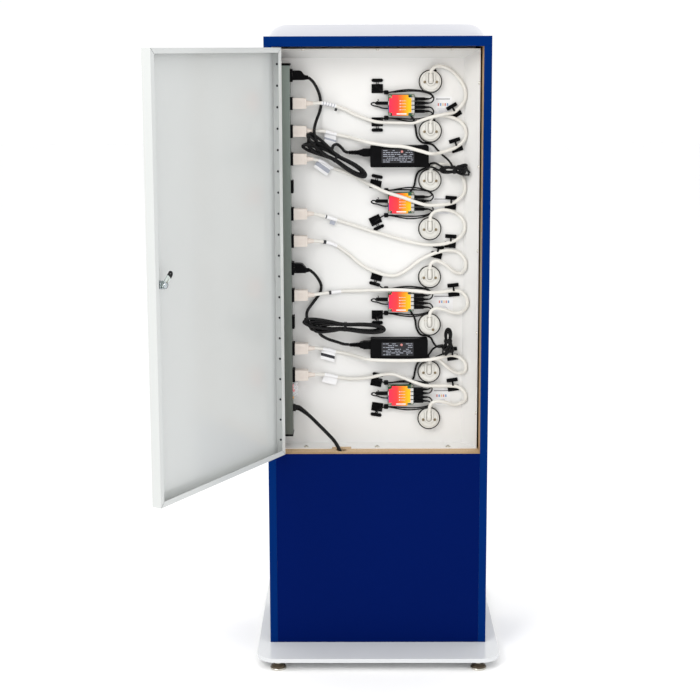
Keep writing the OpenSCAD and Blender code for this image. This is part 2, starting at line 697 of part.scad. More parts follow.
module charging_modules() {
    face = wall_y - steel - 7;
    color("white") for (i = [0 : positions - 1]) translate([mod_x, 0, pos_z(i)]) difference() {
        union() {
            rod_y([0, face, 0], 32, 7);
            rod_y([0, face + 7, 0], 20, steel);
        }
        rod_y([0, face - 1, 0], 22, 3);
        for (s = [-1, 1]) block([s * 6.4 - 1, face - 1, 0], [s * 6.4 + 1, face + 6, 7]);
        rod_y([0, face - 1, -7], 2.4, 7);
    }
}

module module_caps() {
    color("white") for (i = [0 : positions - 1]) translate([mod_x, wall_y, pos_z(i)]) difference() {
        union() {
            rod_y([0, 0, 0], module_r, 4);
            rod_y([0, 4, 0], 26, 14);
            rod_y([0, 18, 0], 23.5, 2.5);
        }
        block([-6, 10.8, 0], [6, 22, 30]);
        rod_y([0, 10.8, 0], 6, 12);
    }
}

module cap_ties() {
    color("black") for (i = [0 : positions - 1]) translate([mod_x, wall_y, pos_z(i)]) {
        difference() {
            rod_y([0, 8, 0], 28, 3.6);
            rod_y([0, 7, 0], 26.3, 6);
            block([-7, 6, 10], [7, 14, 40]);
        }
        block([-24, 6.5, 20], [-17, 13, 27]);
    }
}

// adhesive clip: pad, neck and rounded bar; turn is clockwise as seen from +Y, and
// drop moves the pad away from the bar where a flex passes between them
module clip(x, z, turn, pad, drop) {
    translate([x, wall_y, z]) rotate([0, turn, 0]) {
        block([-14, 0, -pad - drop], [14, 4, -drop]);
        block([-3, 0, -drop], [3, 3, 6]);
        block([-10, 0, 5], [10, 4, 13]);
        for (s = [-1, 1]) rod_y([s * 10, 0, 9], 4, 4);
    }
}

module cable_clips() {
    color("black") {
        for (c = centre_clips) clip(c[0], c[1], c[2], 22, 0);
        for (c = cord_clips) clip(c[0], c[1], c[2], 15, flex_drop);
    }
}

module fixing_screws() {
    color("silver") {
        for (i = [0 : positions - 1], s = [-1, 1])
            rod_y([mod_x + s * 13.5, wall_y + 20.5, pos_z(i)], 3.2, 1.8);
        for (z = hub_z, x = [-1, 1], s = [-1, 1]) {
            rod_y([hub_x + x * (hub_w / 2 - 4), wall_y, z + s * (hub_h / 2 - 4)], 2.6, hub_y - wall_y);
            rod_y([hub_x + x * (hub_w / 2 - 4), hub_y, z + s * (hub_h / 2 - 4)], 1.5, 2);
            rod_y([hub_x + x * (hub_w / 2 - 4), hub_y + 1.6, z + s * (hub_h / 2 - 4)], 3, 1.8);
        }
        for (z = side_screws) {
            rod_x([rim_right, rim_y - 4.5, z], 4, 2.2);
            rod_x([-in_x, rim_y - 4.5, z], 1.9, in_x + rim_right);
        }
        for (x = top_screws) {
            translate([x, rim_y - 4.5, rim_top - 2.2]) cylinder(r = 4, h = 2.2);
            translate([x, rim_y - 4.5, rim_top]) cylinder(r = 1.9, h = in_top - rim_top);
        }
        for (x = floor_screws) {
            translate([x, rim_y - 14, tray_z]) cylinder(r = 6, h = 2.6);
            translate([x, rim_y - 14, ledge_z]) cylinder(r = 1.9, h = steel);
        }
        for (z = [-48, 48]) rod_x([-in_x - 2, rear_y - door_t - 4, lock_z + z], 1.5, 2.2);
    }
}

// levelling foot: pad on the floor and a stud up through the base plate
module foot(x, y) {
    translate([x, y, 0]) {
        color("darkslategray") cylinder(r = 20, h = 9);
        color("silver") translate([0, 0, 9]) cylinder(r1 = 19, r2 = 12, h = 4);
        color("silver") translate([0, 0, 13]) cylinder(r = stud_r, h = plate_z - 16);
        color("silver") translate([0, 0, 14]) cylinder(r = 9, h = foot_h - 14.4, $fn = 6);
    }
}

module foot_front_left() { foot(-foot_x, -foot_y); }
module foot_front_right() { foot(foot_x, -foot_y); }
module foot_rear_left() { foot(-foot_x, foot_y); }
module foot_rear_right() { foot(foot_x, foot_y); }

module mains_cord() {
    color("black") {
        tube(mains_route, mains_r, 3);
        tube(tail_route, mains_r, 2);
    }
}

module mains_coil() {
    color("black") translate([coil_at[0], coil_at[1], floor_z]) rotate_extrude()
        translate([coil_r - coil_t / 2, 0]) square([coil_t, coil_t - 0.2]);
}

module mains_plug() {
    color("black") translate([-64, 36, 60]) {
        rotate([0, -90, 0]) cylinder(r1 = 5.2, r2 = 9, h = 16);
        block([-48, -13, -5.5], [-16, 13, 17]);
        for (s = [-1, 1]) block([-66, s * 6.4 - 0.7, 6], [-48, s * 6.4 + 0.7, 12.5]);
        rod_x([-68, 0, 0], 2.3, 20);
    }
}

base_plate();
cabinet_sides();
cabinet_top();
ledge_shelf();
cabinet_floor();
lower_rear_panel();
front_fascia();
charging_bay();
phone_shelves();
service_tray();
hinge_leaf_cabinet();
hinge_pin();
hinge_leaf_door();
door_pan();
lock_body();
lock_cam();
strike_plate();
strip_housing();
strip_end_caps();
strip_outlets();
switch_guard();
strip_rocker();
strip_lamp();
strip_gland();
white_plugs();
white_cord_1();
white_cord_2();
white_cord_3();
white_cord_4();
white_cord_5();
white_cord_6();
white_cord_7();
white_cord_8();
black_plugs();
brick_lead_1();
brick_lead_2();
brick_hank_1();
brick_hank_2();
lead_connectors();
power_bricks();
dc_leads();
dc_hanks();
hub_boards();
hub_covers();
hub_sockets();
usb_plugs();
usb_cables();
lead_boots();
charging_modules();
module_caps();
cap_ties();
cable_clips();
fixing_screws();
foot_front_left();
foot_front_right();
foot_rear_left();
foot_rear_right();
mains_cord();
mains_coil();
mains_plug();
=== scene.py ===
import json
import math
import random

import bmesh
import bpy
from mathutils import Matrix, Vector


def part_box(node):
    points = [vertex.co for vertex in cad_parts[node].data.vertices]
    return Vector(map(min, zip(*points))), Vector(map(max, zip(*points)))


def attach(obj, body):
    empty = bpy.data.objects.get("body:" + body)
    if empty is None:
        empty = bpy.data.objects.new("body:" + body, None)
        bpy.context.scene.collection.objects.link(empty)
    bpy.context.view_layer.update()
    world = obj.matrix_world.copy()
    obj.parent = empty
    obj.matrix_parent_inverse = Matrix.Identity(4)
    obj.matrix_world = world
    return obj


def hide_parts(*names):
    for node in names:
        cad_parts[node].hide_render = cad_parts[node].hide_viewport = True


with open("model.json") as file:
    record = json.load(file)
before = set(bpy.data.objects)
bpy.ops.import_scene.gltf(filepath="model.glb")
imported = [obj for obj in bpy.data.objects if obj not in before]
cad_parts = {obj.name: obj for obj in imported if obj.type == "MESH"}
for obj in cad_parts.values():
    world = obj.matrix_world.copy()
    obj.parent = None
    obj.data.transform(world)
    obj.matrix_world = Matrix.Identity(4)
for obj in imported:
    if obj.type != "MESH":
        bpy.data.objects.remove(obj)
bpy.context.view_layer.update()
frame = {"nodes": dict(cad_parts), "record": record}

NODES = frame["nodes"]
scene = bpy.context.scene
MM = 0.001

# ---------------------------------------------------------------- camera: the photograph's viewing angle
SENSOR, LENS, SHIFT_Y = 36, 75.73, -0.10
CAMERA_AT = (0.0467, 3.7242, 1.5124)
YAW, PITCH, ROLL = 0.0059, 0.1563, -0.0031

cam_data = bpy.data.cameras.new("camera")
cam = bpy.data.objects.new("camera", cam_data)
scene.collection.objects.link(cam)
cam_data.sensor_width, cam_data.lens, cam_data.shift_y = SENSOR, LENS, SHIFT_Y
look = Vector((math.sin(YAW) * math.cos(PITCH), -math.cos(YAW) * math.cos(PITCH), -math.sin(PITCH)))
level = look.cross(Vector((0, 0, 1))).normalized()
upward = level.cross(look)
right = level * math.cos(ROLL) + upward * math.sin(ROLL)
up = upward * math.cos(ROLL) - level * math.sin(ROLL)
cam.matrix_world = Matrix.Translation(CAMERA_AT) @ Matrix((right, up, -look)).transposed().to_4x4()
scene.camera = cam

# ---------------------------------------------------------------- sizes shared with the CAD model (mm)
WALL = 91.0                                     # service side of the tray's back wall, in y
POS = [1432 - 120.5 * i for i in range(8)]      # heights of the charging modules
OUTLET = [1447 - 67.5 * i for i in range(12)]   # heights of the strip's outlets
FACE = 206.0                                    # plane of the outlets, in x
STRIP_Y, MOD_X = 118.8, -130.0
HUB_X, HUB_Y, HUB_Z = -59.0, 97.0, [1374, 1134, 888, 648]
BRICK_X, BRICK_Z = -54.0, [1250, 769]
GLAND_Z, ROCKER_Z, LAMP_Z = 620, 671, 646
HINGE_X, HINGE_Y, DOOR_OPEN = 250.5, 198.2, 120
LOCK_Z = 1013.5
WHITE_R, BLACK_R, MAINS_R, THIN_R, DC_R = 4.25, 3.75, 4.5, 1.75, 2.5
SIDES = (-1, 1)
CORNERS = [(sx, sz) for sx in SIDES for sz in SIDES]


def smooth(points, n=8):
    """Catmull-Rom line through the points, the same curve that the CAD tubes follow."""
    p = [Vector(q) for q in points]
    m = len(p) - 1
    out = []
    for i in range(m):
        a, b, c, d = p[max(i - 1, 0)], p[i], p[i + 1], p[min(i + 2, m)]
        for k in range(n):
            t = k / n
            out.append(0.5 * (2 * b + (c - a) * t + (2 * a - 5 * b + 4 * c - d) * t * t
                              + (3 * b - a - 3 * c + d) * t ** 3))
    out.append(p[m])
    return out


# ---------------------------------------------------------------- materials
M = {}


def connect(nt, value, socket):
    """Sets a socket to a number or a tuple, or links another node's output to it."""
    if isinstance(value, (int, float, tuple)):
        socket.default_value = value
    else:
        nt.links.new(value, socket)


def feed(nt, node, **values):
    """Sets or links a node's inputs by name, with _ for each space in the name."""
    for name, value in values.items():
        connect(nt, value, node.inputs[name.replace("_", " ")])


def start_material(name):
    """A new material in M: its node tree, its shader and its object coordinates."""
    mat = M[name] = bpy.data.materials.new(name)
    mat.use_nodes = True
    nt = mat.node_tree
    nt.nodes.clear()
    out = nt.nodes.new("ShaderNodeOutputMaterial")
    bsdf = nt.nodes.new("ShaderNodeBsdfPrincipled")
    nt.links.new(bsdf.outputs[0], out.inputs[0])
    return nt, bsdf, nt.nodes.new("ShaderNodeTexCoord").outputs["Object"]


def split(nt, vec):
    n = nt.nodes.new("ShaderNodeSeparateXYZ")
    nt.links.new(vec, n.inputs[0])
    return n.outputs


def mapped(nt, vec, **how):
    n = nt.nodes.new("ShaderNodeMapping")
    feed(nt, n, Vector=vec, **how)
    return n.outputs[0]


def noise(nt, vec, scale, detail=4, rough=0.55, stretch=None):
    n = nt.nodes.new("ShaderNodeTexNoise")
    vec = mapped(nt, vec, Scale=stretch) if stretch else vec
    feed(nt, n, Scale=scale, Detail=detail, Roughness=rough, Vector=vec)
    return n.outputs["Fac"]


def ramp(nt, fac, *stops):
    """A colour ramp through stops of (position, colour)."""
    n = nt.nodes.new("ShaderNodeValToRGB")
    marks = n.color_ramp.elements
    while len(marks) < len(stops):
        marks.new(0.5)
    for mark, (position, colour) in zip(marks, stops):
        mark.position = position
        mark.color = (*colour, 1)
    nt.links.new(fac, n.inputs["Fac"])
    return n.outputs["Color"]


def remap(nt, fac, lo, hi, a=0.3, b=0.7):
    """Stretches the range from a to b to the range from lo to hi."""
    n = nt.nodes.new("ShaderNodeMapRange")
    feed(nt, n, Value=fac, From_Min=a, From_Max=b, To_Min=lo, To_Max=hi)
    return n.outputs[0]


def calc(nt, operation, *values):
    n = nt.nodes.new("ShaderNodeMath")
    n.operation = operation
    for value, socket in zip(values, n.inputs):
        connect(nt, value, socket)
    return n.outputs[0]


def mix(nt, fac, a, b, mode="MIX"):
    n = nt.nodes.new("ShaderNodeMix")
    n.data_type = "RGBA"
    n.blend_type = mode
    for index, value in ((0, fac), (6, a), (7, b)):
        connect(nt, (*value, 1) if isinstance(value, tuple) else value, n.inputs[index])
    return n.outputs[2]


def bump(nt, bsdf, height, strength, distance, normal=None):
    n = nt.nodes.new("ShaderNodeBump")
    feed(nt, n, Strength=strength, Distance=distance, Height=height)
    if normal is not None:
        feed(nt, n, Normal=normal)
    feed(nt, bsdf, Normal=n.outputs[0])
    return n.outputs[0]


def scaled(colour, factor):
    return tuple(min(1.0, c * factor) for c in colour)


def surface(name, base, rough, metal=0.0, tint=0.06, tint_scale=6, grain=0.0, grain_scale=900,
            grain_depth=0.0002, rough_var=0.06, stretch=None, coat=0.0, wave=0.0, spec=None):
    """Painted, moulded or metal surface: colour drift, uneven gloss, fine grain and a slow wave."""
    nt, bsdf, vec = start_material(name)
    drift = noise(nt, vec, tint_scale, 5, 0.6, stretch)
    gloss = noise(nt, vec, tint_scale * 4.3, 5, 0.65, stretch)
    feed(nt, bsdf, Base_Color=ramp(nt, drift, (0.3, scaled(base, 1 - tint)), (0.7, scaled(base, 1 + tint))),
         Roughness=remap(nt, gloss, max(0.02, rough - rough_var), rough + rough_var), Metallic=metal)
    if coat:
        feed(nt, bsdf, Coat_Weight=coat, Coat_Roughness=0.08)
    if spec is not None:
        feed(nt, bsdf, Specular_IOR_Level=spec)
    slow = bump(nt, bsdf, noise(nt, vec, 18, 2, 0.4), wave, 0.002) if wave else None
    if grain:
        bump(nt, bsdf, noise(nt, vec, grain_scale, 3, 0.6, stretch), grain, grain_depth, slow)


def painted_height_light(name, low, high, z0, z1):
    """Painted light and shade: multiplies a material's colour by a slow change between the heights z0 and z1.
    """
    nt = M[name].node_tree
    bsdf = next(n for n in nt.nodes if n.type == "BSDF_PRINCIPLED")
    old = bsdf.inputs["Base Color"].links[0].from_socket
    height = split(nt, nt.nodes.new("ShaderNodeTexCoord").outputs["Object"])[2]
    tone = ramp(nt, remap(nt, height, 0, 1, z0, z1), (0.0, low), (1.0, high))
    feed(nt, bsdf, Base_Color=mix(nt, 1.0, old, tone, "MULTIPLY"))


# painted sheet, board and aluminium
surface("white_powder", (0.775, 0.772, 0.76), 0.36, tint=0.015, tint_scale=3, grain=0.25, grain_scale=1400,
        grain_depth=0.00012, rough_var=0.05, wave=0.05)
# the door's white is a darker copy of the tray's white steel: painted shade
surface("door_white", (0.575, 0.592, 0.584), 0.20, tint=0.015, tint_scale=2.5, grain=0.12, grain_scale=1200,
        grain_depth=0.0001, rough_var=0.04, coat=0.25, wave=0.06)
# the base plate's white is a darker, bluer copy of the tray's white steel: painted shade with blue bounce light
# from the cabinet
surface("base_white", (0.66, 0.675, 0.685), 0.24, tint=0.02, tint_scale=5, grain=0.1, grain_scale=1500,
        grain_depth=0.00005, coat=0.3, rough_var=0.015)
surface("fascia_white", (0.82, 0.82, 0.82), 0.22, tint=0.01, tint_scale=4, grain=0.05, coat=0.4)
surface("board", (0.55, 0.39, 0.235), 0.7, tint=0.22, tint_scale=240, grain=0.6, grain_scale=500,
        grain_depth=0.0006)
surface("alu_grey", (0.180, 0.215, 0.197), 0.40, metal=0.55, tint=0.07, tint_scale=9, grain=0.3,
        grain_scale=700, grain_depth=0.0001, stretch=(1, 1, 0.012), rough_var=0.08)
# the aluminium strip is darker towards the bottom and lighter towards the top: painted shade and painted light
painted_height_light("alu_grey", (0.62, 0.58, 0.56), (1.25, 1.25, 1.25), 0.60, 1.40)

# metal
surface("steel", (0.62, 0.61, 0.58), 0.28, metal=1, tint=0.06, tint_scale=40, grain=0.25, grain_scale=900,
        stretch=(1, 1, 0.03), rough_var=0.08)
surface("zinc", (0.60, 0.58, 0.52), 0.30, metal=1, tint=0.1, tint_scale=120, grain=0.2)
surface("brass_dark", (0.30, 0.245, 0.16), 0.35, metal=1, tint=0.15, tint_scale=200)
surface("foot_brown", (0.085, 0.066, 0.045), 0.32, metal=0.7, tint=0.25, tint_scale=60)
surface("nut_metal", (0.42, 0.46, 0.48), 0.14, metal=1, tint=0.12, tint_scale=90)
surface("gold", (0.75, 0.55, 0.22), 0.28, metal=1, tint=0.08, tint_scale=300)

# moulded plastic and vinyl
surface("black_moulded", (0.0045, 0.0045, 0.005), 0.40, tint=0.2, tint_scale=60, grain=0.35,
        grain_scale=2600, grain_depth=0.00012, rough_var=0.08, spec=0.03)
surface("black_soft", (0.005, 0.005, 0.0055), 0.27, tint=0.2, tint_scale=80, grain=0.3, grain_scale=1800,
        grain_depth=0.00012, rough_var=0.1, spec=0.17)
surface("white_vinyl", (0.715, 0.70, 0.655), 0.38, tint=0.03, tint_scale=30, grain=0.25, grain_scale=1600,
        grain_depth=0.00012, rough_var=0.08)
surface("cream_moulded", (0.72, 0.655, 0.60), 0.45, tint=0.03, tint_scale=40, grain=0.3, grain_scale=2400,
        grain_depth=0.0001)
surface("white_cap", (0.665, 0.655, 0.615), 0.34, tint=0.02, tint_scale=50, grain=0.15, grain_scale=2200,
        coat=0.1)
# grey for the gaps round the module caps' U-rims: painted shade
surface("recess", (0.40, 0.39, 0.36), 0.5, tint=0.05, tint_scale=200)
surface("red_clear", (0.80, 0.02, 0.03), 0.2, tint=0.05, tint_scale=50, coat=0.5)
surface("amber", (0.85, 0.42, 0.05), 0.2, tint=0.05, tint_scale=50, coat=0.5)
surface("chip", (0.022, 0.022, 0.025), 0.5, tint=0.15, tint_scale=300, spec=0.2)
surface("blue_part", (0.03, 0.16, 0.45), 0.35, tint=0.05, tint_scale=100, coat=0.2)

# paper and print
surface("paper", (0.80, 0.80, 0.81), 0.62, tint=0.02, tint_scale=120, grain=0.35, grain_scale=3000)
surface("ink", (0.03, 0.03, 0.035), 0.5, tint=0.2, tint_scale=300, spec=0.2)
for name, colour, rough in (("paper_grey", (0.36, 0.38, 0.44), 0.6), ("ink_red", (0.60, 0.22, 0.20), 0.55),
                            ("ink_blue", (0.16, 0.30, 0.52), 0.55), ("ink_gold", (0.70, 0.50, 0.28), 0.55)):
    surface(name, colour, rough, tint=0.08, tint_scale=300)


def blue_laminate(name, tone):
    """Deep blue laminate; the chipboard shows where the boards face the upper cupboard (metres)."""
    inner, outer, top_face, ledge_top, rear = 0.2515, 0.2525, 1.516, 0.521, 0.1944
    nt, bsdf, vec = start_material(name)
    blue = ramp(nt, noise(nt, vec, 2, 2, 0.5), (0.3, scaled(tone, 0.97)), (0.7, scaled(tone, 1.03)))
    chips = nt.nodes.new("ShaderNodeTexVoronoi")
    feed(nt, chips, Scale=420, Vector=vec)
    wood = mix(nt, 0.35,
               ramp(nt, chips.outputs["Distance"], (0.1, (0.60, 0.44, 0.27)), (0.55, (0.42, 0.28, 0.15))),
               ramp(nt, noise(nt, vec, 30, 5), (0.3, (0.62, 0.46, 0.30)), (0.7, (0.44, 0.31, 0.18))))
    x, y, z = split(nt, vec)
    reach = calc(nt, "ABSOLUTE", x)
    flat = calc(nt, "MAXIMUM", calc(nt, "COMPARE", z, top_face, 0.0006),
                calc(nt, "COMPARE", z, ledge_top, 0.0007))
    upright = calc(nt, "MULTIPLY", calc(nt, "GREATER_THAN", reach, inner),
                   calc(nt, "LESS_THAN", z, top_face + 0.001))
    inside = calc(nt, "MULTIPLY", calc(nt, "LESS_THAN", reach, outer), calc(nt, "LESS_THAN", y, rear))
    raw = calc(nt, "MULTIPLY", calc(nt, "MAXIMUM", flat, upright), inside)
    shine = remap(nt, noise(nt, vec, 3, 2, 0.5), 0.33, 0.37)
    feed(nt, bsdf, Base_Color=mix(nt, raw, blue, wood), Roughness=calc(nt, "MULTIPLY_ADD", raw, 0.4, shine),
         Specular_IOR_Level=0.015)


def dipped_steel(name):
    """Zinc-plated steel whose far end is dipped in black; the reach is measured from the lock's axis."""
    nt, bsdf, vec = start_material(name)
    far = nt.nodes.new("ShaderNodeVectorMath")
    far.operation = "DISTANCE"
    far.inputs[1].default_value = (0.4605, 0.6249, 1.0135)
    nt.links.new(vec, far.inputs[0])
    dip = remap(nt, far.outputs["Value"], 0, 1, 0.0225, 0.0235)
    zinc = ramp(nt, noise(nt, vec, 90, 4), (0.3, (0.60, 0.66, 0.64)), (0.7, (0.74, 0.80, 0.77)))
    feed(nt, bsdf, Base_Color=mix(nt, dip, zinc, (0.004, 0.005, 0.006)), Metallic=remap(nt, dip, 1, 0, 0, 1),
         Roughness=remap(nt, dip, 0.16, 0.42, 0, 1), Specular_IOR_Level=0.2)


def cover_film(name):
    """Printed film that runs from red through orange to yellow across the hub."""
    nt, bsdf, vec = start_material(name)
    across = remap(nt, split(nt, vec)[0], 0, 1, (HUB_X + 30) * MM, (HUB_X - 24) * MM)
    uneven = calc(nt, "MULTIPLY_ADD", noise(nt, vec, 60, 2), 0.08, across)
    colour = ramp(nt, uneven, (0.05, (0.95, 0.030, 0.085)), (0.42, (0.95, 0.055, 0.05)),
                  (0.68, (0.97, 0.25, 0.015)), (0.95, (0.98, 0.50, 0.012)))
    feed(nt, bsdf, Base_Color=colour, Roughness=remap(nt, noise(nt, vec, 90, 3), 0.25, 0.4),
         Coat_Weight=0.06, Specular_IOR_Level=0.12)
    bump(nt, bsdf, noise(nt, vec, 1500, 2), 0.1, 0.0001)


def circuit_green(name):
    """Solder mask with fine tracks under it."""
    nt, bsdf, vec = start_material(name)
    tracks = nt.nodes.new("ShaderNodeTexBrick")
    feed(nt, tracks, Scale=160, Mortar_Size=0.03, Color1=(0.008, 0.075, 0.035, 1),
         Color2=(0.010, 0.095, 0.045, 1), Mortar=(0.03, 0.20, 0.09, 1),
         Vector=mapped(nt, vec, Rotation=(math.radians(90), 0, 0)))
    feed(nt, bsdf, Base_Color=tracks.outputs["Color"],
         Roughness=remap(nt, noise(nt, vec, 200, 3), 0.22, 0.36))
    bump(nt, bsdf, tracks.outputs["Fac"], 0.3, 0.0001)


def clear_guard(name):
    nt, bsdf, vec = start_material(name)
    colour = ramp(nt, noise(nt, vec, 60, 3), (0.3, (0.86, 0.90, 0.94)), (0.7, (0.92, 0.94, 0.97)))
    feed(nt, bsdf, Base_Color=colour, Roughness=remap(nt, noise(nt, vec, 300, 3), 0.04, 0.14), Alpha=0.16)


blue_laminate("blue_board", (0.0001, 0.0185, 0.128))
# the lower rear panel's blue is a darker copy of the board's blue: painted shade low down
blue_laminate("blue_panel", (0.0001, 0.0066, 0.083))
dipped_steel("dipped_steel")
cover_film("cover_film")
circuit_green("circuit_green")
clear_guard("clear_guard")


# ---------------------------------------------------------------- mesh helpers (all take mm)
def body_of(node):
    return next(b for b, ns in frame["record"]["behaviour"]["bodies"].items() if node in ns)


def piece(name, bm, mats, body="kiosk", replaces=(), shade=35, bevel=0.0, segments=2,
          outward=True):
    """Turns a bmesh in mm into a finished piece that rides on a body; mats names its materials."""
    if outward:
        bmesh.ops.recalc_face_normals(bm, faces=bm.faces)
    bmesh.ops.transform(bm, matrix=Matrix.Scale(MM, 4), verts=bm.verts)
    me = bpy.data.meshes.new(name)
    bm.to_mesh(me)
    bm.free()
    ob = bpy.data.objects.new(name, me)
    scene.collection.objects.link(ob)
    for mat in mats.split():
        me.materials.append(M[mat])
    for p in me.polygons:
        p.use_smooth = True
    if bevel:
        b = ob.modifiers.new("bevel", "BEVEL")
        b.width, b.segments, b.limit_method, b.angle_limit = bevel * MM, segments, "ANGLE", math.radians(38)
        b.harden_normals = False
    me.set_sharp_from_angle(angle=math.radians(shade))
    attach(ob, body)
    if replaces:
        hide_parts(*replaces)
    return ob


def soften(node, mat, width, segments):
    """A CAD part with its hard edges rounded over; it stands for the CAD node."""
    bm = bmesh.new()
    bm.from_mesh(NODES[node].data)
    bmesh.ops.transform(bm, matrix=Matrix.Scale(1000, 4), verts=bm.verts)
    bmesh.ops.remove_doubles(bm, verts=bm.verts, dist=0.002)
    bmesh.ops.dissolve_limit(bm, angle_limit=math.radians(0.6), verts=bm.verts, edges=bm.edges)
    ob = piece(node + "_finish", bm, mat, body_of(node), (node,), 38, width, segments, outward=False)
    for p in ob.data.polygons:
        p.material_index = 0


def add_box(bm, lo, hi, mat=0, turn=None, about=None):
    verts = bmesh.ops.create_cube(bm, size=1)["verts"]
    for v in verts:
        v.co = Vector([(a + b) / 2 + c * (b - a) for a, b, c in zip(lo, hi, v.co)])
    if turn is not None:
        bmesh.ops.rotate(bm, cent=Vector(about), matrix=turn, verts=verts)
    for f in {f for v in verts for f in v.link_faces}:
        f.material_index = mat
    return verts


def bridge(bm, rings, mat=0, caps=True):
    """Faces from each ring of vertices to the next; a ring of one vertex is a point."""
    sides = max(len(ring) for ring in rings)
    for a, b in zip(rings, rings[1:]):
        for k in range(sides):
            j = k + 1
            corners = (a[k % len(a)], b[k % len(b)], b[j % len(b)], a[j % len(a)])
            corners = tuple(dict.fromkeys(corners))
            if len(corners) > 2:
                bm.faces.new(corners).material_index = mat
    for ring in (rings[0][::-1], rings[-1]) if caps else ():
        if len(ring) > 2:
            bm.faces.new(ring).material_index = mat


def turns_of(sides):
    """Cosine and sine of each of the sides of a ring."""
    return [(math.cos(2 * math.pi * k / sides), math.sin(2 * math.pi * k / sides)) for k in range(sides)]


def add_lathe(bm, at, axis, profile, sides=48, mat=0, closed=True):
    """Turned piece: profile is (radius, distance along the axis) from one end to the other."""
    at, z = Vector(at), Vector(axis).normalized()
    x = z.orthogonal().normalized()
    rot = Matrix((x, z.cross(x), z)).transposed()
    bridge(bm, [[bm.verts.new(at + rot @ Vector((r * c, r * s, h))) for c, s in turns_of(sides if r else 1)]
                for r, h in profile], mat, closed)


def add_prism(bm, outline, y0, y1, mat=0):
    """Flat plate with an outline in x and z, between two y planes."""
    bridge(bm, [[bm.verts.new((x, y, z)) for x, z in outline] for y in (y0, y1)], mat)


def add_tube(bm, path, r, sides=14, mat=0, taper=None, caps=True):
    """Tube swept along a list of points with a frame that never twists."""
    p = [Vector(q) for q in path]
    last = len(p) - 1
    ahead = [(p[min(i + 1, last)] - p[max(i - 1, 0)]).normalized() for i in range(last + 1)]
    u = ahead[0].orthogonal().normalized()
    rings = []
    for i, t in enumerate(ahead):
        u = (u - t * u.dot(t)).normalized()
        v = t.cross(u)
        rr = r * taper(i / last) if taper else r
        rings.append([bm.verts.new(p[i] + (u * c + v * s) * rr) for c, s in turns_of(sides)])
    bridge(bm, rings, mat, caps)


def arc(cx, cz, r, start, end, n):
    """Points round cx, cz from the angle start to the angle end, in degrees."""
    angles = [math.radians(start + (end - start) * k / n) for k in range(n + 1)]
    return [(cx + r * math.cos(a), cz + r * math.sin(a)) for a in angles]


def rounded_rect(cx, cz, w, h, r, n=6):
    dx, dz = w / 2 - r, h / 2 - r
    corners = ((1, 1, 0), (-1, 1, 90), (-1, -1, 180), (1, -1, 270))
    return [p for sx, sz, a in corners for p in arc(cx + sx * dx, cz + sz * dz, r, a, a + 90, n)]


def ribs(count, pitch, *steps):
    """Profile of a ribbed sleeve; each step of a rib is (radius, its loss per rib, place of the first)."""
    return [(r - loss * k, x + pitch * k) for k in range(count) for r, loss, x in steps]
